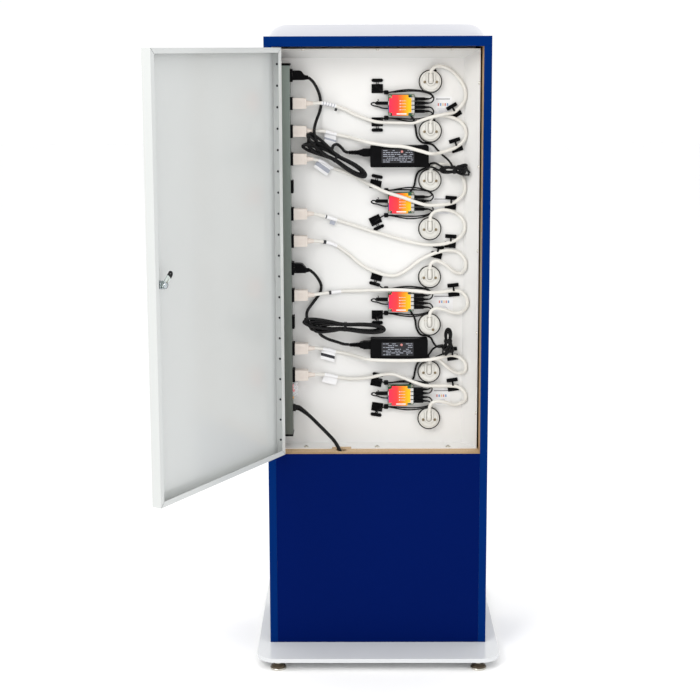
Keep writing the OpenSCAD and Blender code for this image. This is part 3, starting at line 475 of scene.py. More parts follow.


# ---------------------------------------------------------------- white flexes
# points of each flex: x, z and the height off the wall
WHITE = [
    [[158, 1379, 19], [128, 1379, 12], [86, 1366, 3], [56, 1351, 2], [26, 1340, 5], [0, 1333, 5],
     [-40, 1331, 5], [-88, 1331, 7], [-110, 1338, 14], [-130, 1345, 21], [-150, 1349, 18],
     [-170, 1353, 12], [-190, 1358, 5], [-212, 1382, 0], [-214, 1410, 0], [-198, 1440, 1],
     [-172, 1462, 5], [-146, 1468, 9], [-131, 1457, 11], [-130, 1440, 11]],
    [[158, 1311, 19], [134, 1311, 10], [104, 1303, 2], [72, 1296, 4], [42, 1289, 24], [18, 1284, 34],
     [-26, 1277, 33], [-65, 1274, 33], [-104, 1264, 34], [-130, 1257, 33], [-152, 1257, 12],
     [-180, 1265, 5], [-198, 1274, 4], [-214, 1290, 0], [-216, 1314, 0], [-204, 1333, 5],
     [-184, 1343, 5], [-162, 1348, 3], [-142, 1348, 9], [-131, 1339, 11], [-130, 1320, 11]],
    [[158, 1243.5, 19], [136, 1238, 8], [112, 1222, 1], [84, 1212, 1], [56, 1200, 1], [28, 1184, 4],
     [4, 1173, 12], [-22, 1162, 22], [-60, 1150, 22], [-96, 1137, 22], [-122, 1130, 20],
     [-150, 1129, 12], [-180, 1132, 5], [-198, 1140, 4], [-214, 1160, 0], [-214, 1186, 0],
     [-200, 1210, 1], [-176, 1226, 5], [-148, 1229, 10], [-131, 1217, 11], [-130, 1199, 11]],
    [[158, 1109, 19], [130, 1101, 6], [100, 1091, 1], [50, 1075, 1], [16, 1064, 4], [-10, 1057, 4],
     [-46, 1046, 4], [-80, 1037, 4], [-118, 1030, 4.5], [-154, 1030, 4.5], [-182, 1036, 5],
     [-200, 1044, 3], [-214, 1062, 0], [-215, 1084, 0], [-202, 1102, 1], [-180, 1114, 5],
     [-152, 1116, 10], [-133, 1105, 11], [-130, 1079, 11]],
    [[158, 1041.5, 19], [130, 1037, 6], [104, 1028, 1], [72, 1006, 1], [50, 986, 1], [24, 969, 2],
     [0, 960, 5], [-26, 952, 3], [-50, 953, 2], [-74, 966, 2], [-100, 986, 2], [-126, 1001, 4],
     [-148, 1010, 5], [-174, 1015, 4], [-200, 1010, 2], [-217, 992, 0], [-218, 972, 0],
     [-208, 958, 1], [-190, 962, 5], [-168, 980, 9], [-146, 990, 11], [-132, 980, 11], [-130, 958, 11]],
    [[158, 907, 19], [130, 908, 6], [90, 912, 1], [40, 914, 3], [8, 916, 10], [-20, 918, 16],
     [-60, 918, 18], [-100, 915, 18], [-130, 911, 16], [-160, 911, 8], [-188, 914, 5],
     [-208, 911, 4], [-221, 898, 0], [-223, 880, 0], [-213, 862, 0], [-194, 857, 5],
     [-168, 866, 10], [-146, 870, 11], [-132, 860, 11], [-130, 837, 11]],
    [[158, 772, 19], [134, 767, 8], [108, 760, 2], [80, 754, 2], [50, 749, 16], [24, 745, 33],
     [-10, 743, 33], [-60, 742, 33], [-110, 743, 33], [-136, 745, 31], [-160, 748, 22],
     [-184, 750, 7], [-204, 745, 5], [-219, 732, 0], [-220, 714, 0], [-208, 703, 1],
     [-190, 708, 4], [-172, 723, 10], [-156, 738, 14], [-141, 744, 13], [-131, 735, 11], [-130, 717, 11]],
    [[158, 704.5, 19], [130, 700, 5], [100, 693, 1], [70, 689, 1], [40, 690, 2], [14, 694, 5],
     [-12, 700, 5], [-40, 702, 8], [-66, 694, 15], [-92, 684, 18], [-118, 675, 17], [-150, 672, 9],
     [-180, 671, 5], [-204, 668, 5], [-219, 656, 0], [-221, 640, 0], [-210, 626, 0], [-192, 622, 4],
     [-170, 630, 11], [-148, 634, 17], [-133, 624, 16], [-130, 596, 11]]]


def lifted(p):
    """A point of a white flex off the tray's wall, which slopes up towards its edge."""
    x, z, off = p
    slope = max(0, -213 - (x - WHITE_R)) * (139 - WALL) / 33.0
    return (x, WALL + slope + WHITE_R + off + (1.5 if x < -204 else 0.4), z)


WHITE_PATH = [smooth([lifted(p) for p in r]) for r in WHITE]

for i, path in enumerate(WHITE_PATH, 1):
    bm = bmesh.new()
    add_tube(bm, path, WHITE_R, 18)
    piece("white_flex_%d" % i, bm, "white_vinyl", replaces=["white_cord_%d" % i], shade=60)

# ---------------------------------------------------------------- brick leads, with their folded hanks
LEAD_A = [
    [[168, 118.8, 1442], [155, 117, 1430], [143, 104, 1405], [138, 98, 1380], [140, 98, 1362],
     [147, 108, 1343], [152, 122, 1327], [154, 129, 1312], [152, 127, 1299], [148, 121, 1288]],
    [[168, 118.8, 970], [155, 117, 958], [143, 106, 938], [140, 98, 922], [145, 97, 905],
     [160, 100, 885], [174, 108, 866], [176, 117, 852], [172, 120, 842]]]
LEAD_B = [
    [[112, 118, 1262], [108, 114, 1276], [98, 110, 1279], [88, 108, 1271], [80, 107, 1262], [71, 107, 1259]],
    [[148, 119, 822], [142, 115, 806], [124, 111, 794], [102, 108, 786], [84, 107, 780], [71, 107, 779]]]
HANKS = [((158, 1282), (44, 1212)), ((160, 832), (0, 822))]


def hank_path(a, b, reach, r, seed, waist, n, fan, longer, layers):
    """Turns of a folded hank between two end centres: loose loops at a, drawn in at the tie."""
    rnd = random.Random(seed)
    a, b = Vector(a), Vector(b)
    axis = (b - a).normalized()
    side = Vector((-axis[1], axis[0]))
    mid, half = (a + b) / 2, (b - a).length / 2
    climb = 6  # steps at the end of a turn that rise to the next turn's layer
    pts = []
    for k, y in enumerate(layers):
        ring = k // 2
        wide = reach - r - ring * 0.9 * r
        narrow = wide * waist
        following = layers[min(k + 1, len(layers) - 1)]
        ext = half + reach - r - ring * 1.6 * r + rnd.uniform(-1.5, 0)
        w1, w2 = rnd.uniform(0.86, 1.0), rnd.uniform(0.86, 1.0)
        phase, drop = rnd.uniform(0, 6.28), fan[k]
        for j in range(n):
            th = 2 * math.pi * j / n
            c, s = math.cos(th), math.sin(th)
            w = narrow + (wide - narrow) * abs(c) ** 0.9
            v = s * w * (w1 if s > 0 else w2) + drop * max(0, c) ** 1.3
            q = mid - axis * (c * (ext + (longer[k] if c > 0 else 0))) + side * v
            f = max(0, j - (n - climb - 1)) / (climb + 1)
            pts.append((q[0], (y + 0.8 * math.sin(2 * th + phase)) * (1 - f) + following * f, q[1]))
    return pts


def band(bm, a, b, half_w, half_d, yc, width, thick):
    """Strap round the middle of a bundle that runs from a to b: a closed oval ring."""
    squareness = 0.62
    ax = Vector((b[0] - a[0], 0, b[1] - a[1])).normalized()
    side, out = Vector((-ax[2], 0, ax[0])), Vector((0, 1, 0))
    centre = Vector(((a[0] + b[0]) / 2, yc, (a[1] + b[1]) / 2))
    section = ((0, -width / 2), (thick, -width / 2), (thick, width / 2), (0, width / 2))
    rings = []
    for c, s in turns_of(28):
        u = math.copysign(abs(c) ** squareness, c)
        v = math.copysign(abs(s) ** squareness, s)
        rings.append([bm.verts.new(centre + side * (u * (half_w + off)) + out * (v * (half_d + off))
                                   + ax * along) for off, along in section])
    bridge(bm, rings + rings[:1], caps=False)


BRICK_FAN = ((-13, 6, 17, -3, 10), (-8, 7, -2, 12, 4))
BRICK_LONGER = ((4, -8, 6, -14, -2), (6, -10, 0, -16, 3))
for i, (a, b) in enumerate(HANKS):
    bm = bmesh.new()
    add_tube(bm, smooth(LEAD_A[i]), BLACK_R, 14)
    add_tube(bm, smooth(LEAD_B[i]), BLACK_R, 14)
    piece("brick_flex_%d" % (i + 1), bm, "black_soft",
          replaces=["brick_lead_%d" % (i + 1)], shade=60)
    bm = bmesh.new()
    turns = hank_path(a, b, 22, BLACK_R, 11 + i, 0.34, 26, BRICK_FAN[i], BRICK_LONGER[i],
                      (128.4, 121.2, 114.0, 125.2, 117.6))
    add_tube(bm, smooth([LEAD_A[i][-1]] + turns + [LEAD_B[i][0]], 4), BLACK_R, 12)
    band(bm, a, b, 10.5, 10.5, 121.2, 7, 1.2)
    piece("brick_hank_turns_%d" % (i + 1), bm, "black_soft",
          replaces=["brick_hank_%d" % (i + 1)], shade=60)

# ---------------------------------------------------------------- low-voltage leads, brick to hub
DC_SHORT = [
    [[-126, 103, 1228], [-133, 108, 1232], [-142, 116, 1233], [-152, 120, 1228], [-163, 120, 1222]],
    [[-126, 103, 748], [-132, 103, 756], [-139, 108, 767], [-150, 116, 776], [-164, 120, 780]]]
DC_HUB = [
    [[-185, 118, 1224], [-174, 112, 1240], [-160, 100, 1252], [-148, 94, 1264], [-137, 94, 1276],
     [-125, 94, 1280], [-110, 94, 1283], [-98, 94, 1296], [-94, 94, 1318], [-90, 93.7, 1336],
     [-80, 93.7, 1352]],
    [[-166, 120, 1212], [-148, 120, 1217], [-132, 121, 1224], [-114, 112, 1219], [-101, 99, 1210],
     [-95, 94, 1196], [-91, 93.7, 1176], [-80, 93.7, 1157]],
    [[-172, 118, 778], [-160, 106, 772], [-148, 96, 772], [-140, 94, 782], [-134, 94, 793],
     [-124, 94, 798.6], [-108, 94, 802], [-98, 94, 818], [-95, 94, 838], [-90, 93.7, 850], [-80, 93.7, 866]],
    [[-176, 118, 772], [-170, 108, 758], [-156, 96, 748], [-142, 94, 741], [-130, 94, 739.7],
     [-112, 94, 737], [-100, 94, 725], [-95, 94, 708], [-91, 93.7, 690], [-80, 93.7, 671]]]
bm = bmesh.new()
for r in DC_SHORT + DC_HUB:
    add_tube(bm, smooth(r), DC_R, 12)
piece("dc_flex", bm, "black_soft", replaces=["dc_leads"], shade=60)

bm = bmesh.new()
for a, b, seed in (((-210, 1217), (-166, 1217), 3), ((-176, 771), (-176, 809), 5)):
    turns = hank_path(a, b, 16, DC_R, seed, 0.4, 22, (-8, 6, 10, -4, 3, -10, 8), (3, -5, 1, -8, 4, -3, -10),
                      (126, 121, 116, 123.5, 118.5, 128, 114.6))
    add_tube(bm, smooth(turns, 4), DC_R * 0.86, 10)
    band(bm, a, b, 9.5, 7.4, 120, 6, 0.9)
    cx, cz = (a[0] + b[0]) / 2, (a[1] + b[1]) / 2
    tail = ((4, 127, 2), (8, 128.5, 7), (9, 128.5, 13), (6, 128.5, 18))
    add_tube(bm, smooth([(cx + dx, ty, cz + dz) for dx, ty, dz in tail], 5), 0.8, 8)
piece("dc_hank_turns", bm, "black_soft", replaces=["dc_hanks"], shade=60)

# ---------------------------------------------------------------- phone leads, plug to boot
BOOT_UP, LEAD_WALL = 31, WALL + 7
bm = bmesh.new()
rnd = random.Random(7)
for h in HUB_Z:
    y = HUB_Y + 7.6
    for s in SIDES:
        for k in (0, 1):
            run, jog = LEAD_WALL + 4.5 * k, rnd.uniform(-1.2, 1.2)
            zs = h + s * (15 - 10 * k)
            add_tube(bm, smooth([
                (-126, y, zs), (-130 - 2 * k, y + k, zs + s * 1.5),
                (-134.5 - 3 * k, y + k, h + s * (20 - 6 * k)),
                (-131 - 4 * k, y + 1 + 2 * k, h + s * (25 - 2 * k)),
                (-120 - 3 * k, run + 4, h + s * (30 + 1.5 * k)),
                (-100, run + 3, h + s * (33 + 4 * k) + jog), (-78, run + 2, h + s * (33.5 + 5 * k) + jog),
                (-56, run + 1, h + s * (32.5 + 3.4 * k)), (-38, run, h + s * (BOOT_UP + 0.5 + k)),
                (-27, run, h + s * BOOT_UP)]), THIN_R, 12)
    for s, dz, rise in ((1, 2.2, 3.0), (-1, -2.4, 3.4)):  # slack between the boot and the clip beside it
        z1 = h + s * BOOT_UP
        add_tube(bm, smooth([
            (-17, WALL + 9, z1 + dz * 0.3), (-13, WALL + 8, z1 + dz), (-8, WALL + 6.5, z1 + dz + s * rise),
            (-3, WALL + 5.6, z1 + dz + s * (rise + 4)), (2, WALL + 5.4, z1 + s * (rise + 9)),
            (5, WALL + 5.2, z1 + s * (rise + 14))], 5), THIN_R, 10)
    add_tube(bm, smooth([(3, y, h + 5), (10, y, h + 6.5), (15, y, h + 3), (10, y - 2, h - 1),
                         (0, y - 3, h - 3), (-12, y - 3, h - 7), (-20, y - 3, h - 8),
                         (-26.5, y - 3, h - 8)]), THIN_R, 12)
    add_tube(bm, smooth([(1.5, y + 4.4, h + 5), (0.8, y + 5.6, h + 9), (-3, y + 6, h + 12),
                         (-1, y + 5.2, h + 15)], 5), 0.9, 8)
piece("phone_leads", bm, "black_soft", replaces=["usb_cables"], shade=60)

# ---------------------------------------------------------------- mains cord: gland, ledge hole, coil, plug
MAINS = [[198, STRIP_Y, 620], [186, 121, 612], [168, 126, 598], [148, 134, 580], [126, 144, 560],
         [108, 152, 542], [96, 157, 522], [90, 158, 500], [92, 156, 450], [100, 148, 380], [108, 136, 300],
         [114, 120, 220], [116, 108, 160], [115.5, 101.5, 125], [115, 99.5, 102], [114.9, 94.6, 83.4],
         [114.8, 82, 69.8], [114.7, 70, 65]]
COIL_X = COIL_Y = 60
COIL_R, COIL_Z, COIL_TURNS, PER_TURN = 50, 59.5, 3, 40


def coil_point(u):
    """Point of the coil u turns in: outer top, outer bottom, inner bottom, inner top."""
    k = int(u)
    f = max(0.0, (u - k - 0.8) / 0.2)
    f = f * f * (3 - 2 * f)
    slot = math.radians(45 - 90 * (k + f))
    r = COIL_R + 6.7 * math.cos(slot)
    z = COIL_Z + 6.7 * math.sin(slot) + 1.8 * math.sin(math.pi * f)
    a = -2 * math.pi * u
    return Vector((COIL_X + r * math.cos(a), COIL_Y + r * math.sin(a), z))


# the cord rises off the third turn, crosses the coil's top and runs to the plug
TURNS = [coil_point(j / PER_TURN) for j in range(COIL_TURNS * PER_TURN + 1)]
RISE = [(COIL_X + r * math.cos(math.radians(-deg)), COIL_Y + r * math.sin(math.radians(-deg)), z)
        for deg, r, z in ((20, 45.6, 65.0), (40, 46.4, 67.8), (60, 47.6, 71.4), (80, 48.8, 73.8))]
WALK = RISE + [(52, 10.9, 74.4), (36, 11.8, 74.6), (18, 15, 74.5), (-2, 20.5, 72.6), (-22, 28, 68),
               (-42, 34, 62.4), (-55, 36, 60.2), (-64, 36, 60)]
MAINS_PATH = smooth(MAINS + [tuple(TURNS[0])], 8) + TURNS[1:-1] + smooth([tuple(TURNS[-1])] + WALK, 8)

cd = bpy.data.curves.new("mains_flex", "CURVE")
cd.dimensions = "3D"
sp = cd.splines.new("POLY")
sp.points.add(len(MAINS_PATH) - 1)
for q, p in zip(sp.points, MAINS_PATH):
    q.co = (*(Vector(p) * MM), 1)
cd.bevel_depth = MAINS_R * MM
cd.bevel_resolution = 5
cd.use_fill_caps = True
cd.materials.append(M["black_soft"])
mains = bpy.data.objects.new("mains_flex", cd)
scene.collection.objects.link(mains)
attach(mains, "kiosk")
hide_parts("mains_cord", "mains_coil")


def blades(bm, x0, yc, z, sign=1):
    """Two flat blades and a round earth pin, pointing along +X (or -X)."""
    for s in SIDES:
        x1 = x0 + sign * 15
        add_box(bm, (min(x0, x1), yc + s * 6.4 - 0.7, z), (max(x0, x1), yc + s * 6.4 + 0.7, z + 6.5), 1)
    add_lathe(bm, (x0, yc, z - 7), (sign, 0, 0), [(2.3, 0), (2.3, 14), (1.2, 16.5), (0, 17)], 16, 1)


# mains plug in the cupboard: body, strain relief, blades
bm = bmesh.new()
add_box(bm, (-112, 23, 54.5), (-80, 49, 77))
add_lathe(bm, (-64, 36, 60), (-1, 0, 0), [(4.9, -1), (5.4, 0)] + ribs(
    5, 3, (5.6, -0.7, 0.3), (6.0, -0.7, 1.8), (5.3, -0.7, 2.1), (5.4, -0.7, 3)) + [(9.5, 17)], 28)
blades(bm, -112, 36, 66, -1)
mains_end = piece("mains_plug_body", bm, "black_moulded steel",
                  replaces=["mains_plug"], bevel=1.2, segments=3)

# ---------------------------------------------------------------- plugs on the strip
WHITE_SLOTS, BLACK_SLOTS = (1, 2, 3, 5, 6, 8, 10, 11), (0, 7)
NECK_X, NECK_DRAW = 180, 0.93
bm = bmesh.new()
for z in (OUTLET[i] for i in WHITE_SLOTS):
    for v in add_box(bm, (173, STRIP_Y - 13, z - 13.6), (FACE - 0.4, STRIP_Y + 13, z + 13.6)):
        if v.co.x < NECK_X:  # the body draws in a little towards the flex
            v.co.y = STRIP_Y + (v.co.y - STRIP_Y) * NECK_DRAW
            v.co.z = z + (v.co.z - z) * NECK_DRAW
    # raised frame on the broad face and a grip line
    for x0, x1, z0, z1 in ((183.5, 194.5, -5.2, -4.4), (183.5, 194.5, 4.4, 5.2), (183.5, 184.3, -4.4, 4.4),
                           (193.7, 194.5, -4.4, 4.4)):
        add_box(bm, (x0, STRIP_Y + 12.6, z + z0), (x1, STRIP_Y + 13.4, z + z1))
    add_box(bm, (176, STRIP_Y + 12.5, z - 12.4), (177.2, STRIP_Y + 13.3, z + 12.4))
    add_lathe(bm, (0, STRIP_Y, z), (1, 0, 0), [(7.4, 174)] + ribs(
        5, -3.2, (7.2, 0.5, 173), (7.2, 0.5, 170.9), (6.2, 0.5, 170.7), (6.2, 0.5, 170))
        + [(4.6, 157), (4.3, 156)], 28)
    blades(bm, FACE - 1, STRIP_Y, z)
piece("white_plug_bodies", bm, "cream_moulded steel", replaces=["white_plugs"],
      bevel=1.6, segments=3)

bm = bmesh.new()
for z in (OUTLET[i] for i in BLACK_SLOTS):
    # side outline of an angled body: flat face at the outlet, sloping shoulder, neck at the bottom
    add_prism(bm, [(FACE - 0.4, z - 11), (FACE - 0.4, z + 12), (190, z + 12), (184, z + 10), (179, z + 3),
                   (177, z + 1.5), (177, z - 11)], STRIP_Y - 12.5, STRIP_Y + 12.5)
    for k in range(4):
        add_box(bm, (186 + k * 4, STRIP_Y + 12, z - 7), (188 + k * 4, STRIP_Y + 13.2, z + 6))
    add_lathe(bm, (0, STRIP_Y, z - 5), (1, 0, 0), [(6.6, 178)] + ribs(
        3, -3, (6.2, 0.5, 177), (6.2, 0.5, 175), (5.1, 0.4, 174.8), (5.1, 0.4, 174.1)) + [(4.1, 167.5)], 24)
    blades(bm, FACE - 1, STRIP_Y, z)
piece("black_plug_bodies", bm, "black_moulded steel", replaces=["black_plugs"],
      bevel=1.2, segments=3)

# ---------------------------------------------------------------- bricks, their labels and connectors
CASE_W, CASE_H, CASE_TOP = 143, 53, WALL + 32
for i, z in enumerate(BRICK_Z):
    bm = bmesh.new()
    add_prism(bm, rounded_rect(BRICK_X, z, CASE_W, CASE_H, 4), WALL + 0.3, WALL + 14.6)
    add_prism(bm, rounded_rect(BRICK_X, z, CASE_W - 1.4, CASE_H - 1.4, 3.6), WALL + 14.6, WALL + 15.4)
    add_prism(bm, rounded_rect(BRICK_X, z, CASE_W, CASE_H, 4), WALL + 15.4, CASE_TOP)
    add_lathe(bm, (BRICK_X - CASE_W / 2 - 1, WALL + 12, z - 22), (1, 0, 0),
              [(3.0, -4), (4.3, -1), (4.5, 3)], 20)
    piece("brick_case_%d" % (i + 1), bm, "black_moulded",
          replaces=["power_bricks"] if i == 0 else (), bevel=1.4, segments=3)
    # label: dark ground, one red disc and broken pale bars
    bm = bmesh.new()
    add_prism(bm, rounded_rect(BRICK_X + 4, z + 1, 80, 34, 1.5), CASE_TOP - 0.05, CASE_TOP + 0.18)
    rnd = random.Random(20 + i)
    add_lathe(bm, (BRICK_X - 6, CASE_TOP + 0.1, z + 12), (0, 1, 0), [(3, 0), (3, 0.16), (0, 0.16)], 20, 2)
    for row in range(7):
        x, zz = BRICK_X + 40, z + 14.5 - row * 4.6
        while x > BRICK_X - 32:
            w = rnd.uniform(3, 11)
            if rnd.random() < 0.72 and abs(x - w / 2 - BRICK_X + 6) > 9 - row * 3:
                add_box(bm, (max(x - w, BRICK_X - 33), CASE_TOP + 0.1, zz - 0.75),
                        (x, CASE_TOP + 0.26, zz + 0.75), 1)
            x -= w + 1.8
    piece("brick_label_%d" % (i + 1), bm, "chip paper_grey ink_red")
    # connector with finger grips and a tapered, ribbed strain relief
    bm = bmesh.new()
    cz, cy = z + 9, WALL + 16
    add_prism(bm, [(17.6, cz - 9.6), (17.6, cz + 9.6), (34, cz + 9.6), (38, cz + 7.6), (44, cz + 6.4),
                   (44, cz - 6.4), (38, cz - 7.6), (34, cz - 9.6)], cy - 10.5, cy + 10.5)
    for k in range(4):
        add_box(bm, (22 + k * 4, cy + 10, cz - 6), (24 + k * 4, cy + 11.2, cz + 6))
    add_lathe(bm, (0, cy, cz), (1, 0, 0), [(5.2, 43.5)] + ribs(
        7, 3.6, (6.3, 0.24, 45), (6.3, 0.24, 47.2), (4.8, 0.24, 47.4), (4.8, 0.24, 48.4)) + [(4.0, 70.8)], 24)
    piece("lead_connector_%d" % (i + 1), bm, "black_moulded",
          replaces=["lead_connectors"] if i == 0 else (), bevel=0.9, segments=2)

# ---------------------------------------------------------------- hubs
SOCKETS = (15, 5, -5, -15)
SHELL_X = HUB_X - 31.5
bm, cm, sm, um = bmesh.new(), bmesh.new(), bmesh.new(), bmesh.new()
for z in HUB_Z:
    y = HUB_Y
    top = y + 1.6
    add_prism(bm, rounded_rect(HUB_X, z, 65, 52, 3, 4), y, top)
    for sx, sz in CORNERS:  # pads under the screws, pillars under the cover
        add_lathe(bm, (HUB_X + sx * 28.5, y + 1.5, z + sz * 22), (0, 1, 0),
                  [(3.3, 0), (3.3, 0.25), (0, 0.25)], 20, 1)
        add_lathe(bm, (HUB_X + 3 + sx * 20.5, top, z + sz * 17), (0, 1, 0), [(2.4, 0), (2.4, 12)], 6, 1)
    rnd = random.Random(int(z))
    for k in range(16):
        px, pz = HUB_X + rnd.uniform(-20, 26), z + rnd.choice(SIDES) * rnd.uniform(15, 23)
        w, h = rnd.choice(((1.6, 0.8), (2.4, 1.4), (3.4, 2.6)))
        add_box(bm, (px - w, top, pz - h), (px + w, y + 2.5 + rnd.random(), pz + h), rnd.choice((2, 2, 1)))
    add_box(bm, (HUB_X - 6, top, z - 8), (HUB_X + 6, y + 3, z + 4), 2)
    add_box(bm, (HUB_X + 22, top, z - 16), (HUB_X + 32, y + 9, z - 4), 3)
    add_lathe(bm, (HUB_X + 12, top, z + 10), (0, 1, 0), [(3.5, 0), (3.5, 8), (3.2, 8.6), (0, 8.6)], 20, 2)
    # film-covered plate with cut corners
    outline = []
    for sx, sz in ((1, 1), (-1, 1), (-1, -1), (1, -1)):
        corner = [(27.2, 17.5), (21, 17.5), (19.8, 18.6), (19.8, 25)][::sx * sz]
        outline += [(HUB_X + 3.25 + sx * px, z + sz * pz) for px, pz in corner]
    add_prism(cm, outline, y + 13.6, y + 15.4)
    marks = [(-12, 12, -21, 1.4)]
    for s in SOCKETS:
        marks += [(-11, 2, s * 0.72, 0.35), (2.5, 4.6, s * 0.72, 1.1)]
    for x0, x1, dz, half in marks:
        add_box(cm, (HUB_X + x0, y + 15.4, z + dz - half), (HUB_X + x1, y + 15.55, z + dz + half), 1)
    for zs in (z + s for s in SOCKETS):
        # socket: a folded steel shell
        for y0, y1 in ((1.6, 2.1), (12.6, 13.1)):
            add_box(sm, (SHELL_X, y + y0, zs - 4), (SHELL_X + 17, y + y1, zs + 4))
        for e in (-4, 3.5):
            add_box(sm, (SHELL_X, y + 2.1, zs + e), (SHELL_X + 17, y + 12.6, zs + e + 0.5))
        # plug with a grip and a ribbed sleeve
        add_box(um, (-115, y + 2.8, zs - 3.9), (HUB_X - 32.8, y + 12.4, zs + 3.9))
        add_box(um, (-110, y + 12.0, zs - 2.4), (-97, y + 12.9, zs + 2.4))
        add_lathe(um, (0, y + 7.6, zs), (1, 0, 0), [(3.7, -114.2), (3.4, -116)] + ribs(
            4, -2.6, (3.2, 0.3, -116.4), (3.1, 0.3, -118), (2.4, 0.15, -118.2), (2.4, 0.15, -118.8)), 20)
    add_box(sm, (HUB_X + 20.5, top, z), (HUB_X + 32.5, y + 11.6, z + 10))
    add_box(um, (-26.3, y + 3, z + 1), (3, y + 12, z + 9))
    add_lathe(um, (3, y + 7.6, z + 5), (1, 0, 0), [(3.4, -0.5), (3.0, 1), (2.4, 1.4), (2.2, 3.2)], 18)
piece("hub_circuit_boards", bm, "circuit_green gold chip blue_part",
      replaces=["hub_boards"], shade=30, bevel=0.15, segments=1)
piece("hub_cover_plates", cm, "cover_film paper", replaces=["hub_covers"], shade=30,
      bevel=0.35, segments=2)
piece("hub_socket_shells", sm, "steel", replaces=["hub_sockets"], shade=30, bevel=0.12,
      segments=1)
piece("phone_lead_plugs", um, "black_moulded", replaces=["usb_plugs"], bevel=0.9,
      segments=3)

# boots where the phone leads pass through the tray
bm = bmesh.new()
for z in (h + s * BOOT_UP for h in HUB_Z for s in SIDES):
    add_prism(bm, rounded_rect(-22, z, 10, 9, 2.2, 5), WALL, WALL + 14.8)
    for k in range(3):
        add_prism(bm, rounded_rect(-22, z, 11.2, 10.2, 2.6, 5), WALL + 0.6 + k * 4.2, WALL + 2.6 + k * 4.2)
    add_lathe(bm, (-22, WALL - 4.5, z), (0, 1, 0), [(2.6, 0), (3.4, 1), (3.4, 4.5)], 24)
piece("lead_boot_bodies", bm, "black_moulded", replaces=["lead_boots"], bevel=0.3,
      segments=2)

# ---------------------------------------------------------------- charging module caps, ties, screws
CAP_TOP = 19.2
TIE_ANGLE = (66, 72, 70, 84, 80, 96, 74, 94)    # where each tie's head sits round its cap
TURNED_CAP, TURNED_BY = 5, 52                   # one module is screwed in at an angle
CAP = [(27.6, 0), (27.6, 2.6), (26.8, 3.6), (25.6, 3.9), (25.3, 4.6), (25.3, 16.2), (24.6, 17.6),
       (23.4, 18.2), (22.4, 18.2), (22.1, 17.2), (21.5, 17.2), (21.2, 18.9), (20.4, 19.5), (0, 19.5)]


def cup(x, z, r, top, n=24):
    """Outline of a U: a half circle below z, with both arms up to top."""
    return [(x - r, z + top)] + arc(x, z, r, 180, 360, n) + [(x + r, z + top)]


def cross(bm, at, half, lift, turn):
    """Cross slot of a screw head that faces +Y, drawn as a dark raised cross: painted shade in the slot."""
    x, y, z = at
    for q in (0, 90):
        add_box(bm, (x - half, y + lift, z - 0.3), (x + half, y + lift + 0.4, z + 0.3), 1,
                Matrix.Rotation(math.radians(q + turn), 3, "Y"), at)


bm, tm, sc = bmesh.new(), bmesh.new(), bmesh.new()
for i, z in enumerate(POS):
    add_lathe(bm, (MOD_X, WALL, z), (0, 1, 0), CAP, 72)
    # U-shaped rim round the flex: an outer and an inner line, joined on both faces
    poly = cup(MOD_X, z, 11, 19.5) + cup(MOD_X, z, 7.4, 21.5)[::-1]
    low, high = ([bm.verts.new((x, WALL + y, q)) for x, q in poly] for y in (CAP_TOP, 23.0))
    bridge(bm, [low, high], caps=False)
    for k in range(len(poly) // 2 - 1):
        bm.faces.new((high[k], high[k + 1], high[-k - 2], high[-k - 1]))
        bm.faces.new((low[k], low[-k - 1], low[-k - 2], low[k + 1]))
    # grey U on the floor inside the rim and a grey U under the rim: painted shade in the gaps
    add_prism(bm, cup(MOD_X, z, 7.6, 20), WALL + 19.3, WALL + 19.7, 1)
    add_prism(bm, cup(MOD_X, z, 12.2, 16), WALL + CAP_TOP, WALL + 19.62, 1)
    # stub of the flex's sleeve inside the U
    add_tube(bm, smooth([(MOD_X, WALL + 18, z - 2), (MOD_X, WALL + 20.4, z + 3), (MOD_X, WALL + 18.4, z + 9),
                         (MOD_X, WALL + 16.2, z + 16)], 6), 6.1, 20, taper=lambda t: 1 - 0.12 * t)
    # tie: a thin strap round the cap, a touch too large and off centre, with its head and its tail
    off = random.Random(40 + i).uniform(-0.5, 0.5)
    ha = math.radians(TIE_ANGLE[i])
    cos, sin = math.cos(ha), math.sin(ha)
    ring = [(MOD_X + 1.3 * cos + 27.6 * math.cos(a), WALL + 8.6 + off + 1.2 * math.sin(a + i),
             z - 1.3 * sin + 27.6 * math.sin(a)) for a in (2 * math.pi * k / 72 for k in range(73))]
    add_tube(tm, ring, 1.25, 8, caps=False)
    hx, hz = MOD_X - 27.4 * cos, z + 27.4 * sin
    add_box(tm, (hx - 3.2, WALL + 6.8 + off, hz - 3), (hx + 3.2, WALL + 13.4 + off, hz + 3), 0,
            Matrix.Rotation(ha - math.pi / 2, 3, "Y"), (hx, WALL + 10, hz))
    add_tube(tm, smooth([(hx + 1, WALL + 10, hz + 2.5), (hx - 1.5, WALL + 11.5, hz + 6),
                         (hx - 5, WALL + 12.5, hz + 8)], 5), 1.3, 6)
    # two screws, each in a ring of its own
    turned = math.radians(TURNED_BY) if i == TURNED_CAP else 0
    for s in SIDES:
        p = (MOD_X + s * 14.6 * math.cos(turned), WALL + 19.6,
             z - 2 * math.cos(turned) + s * 14.6 * math.sin(turned))
        add_lathe(bm, p, (0, 1, 0), [(4.6, -0.2), (4.6, 1.3), (3.9, 1.5), (3.8, 0.2), (0, 0.2)], 24)
        add_lathe(sc, p, (0, 1, 0), [(3.4, 0.1), (3.4, 0.7), (2.6, 1.3), (0, 1.5)], 20, 2)
        cross(sc, p, 1.9, 1.4, 20 + 31 * i)
piece("module_cap_bodies", bm, "white_cap recess", replaces=["module_caps"], shade=34)
piece("cap_tie_straps", tm, "black_soft", replaces=["cap_ties"], shade=40)

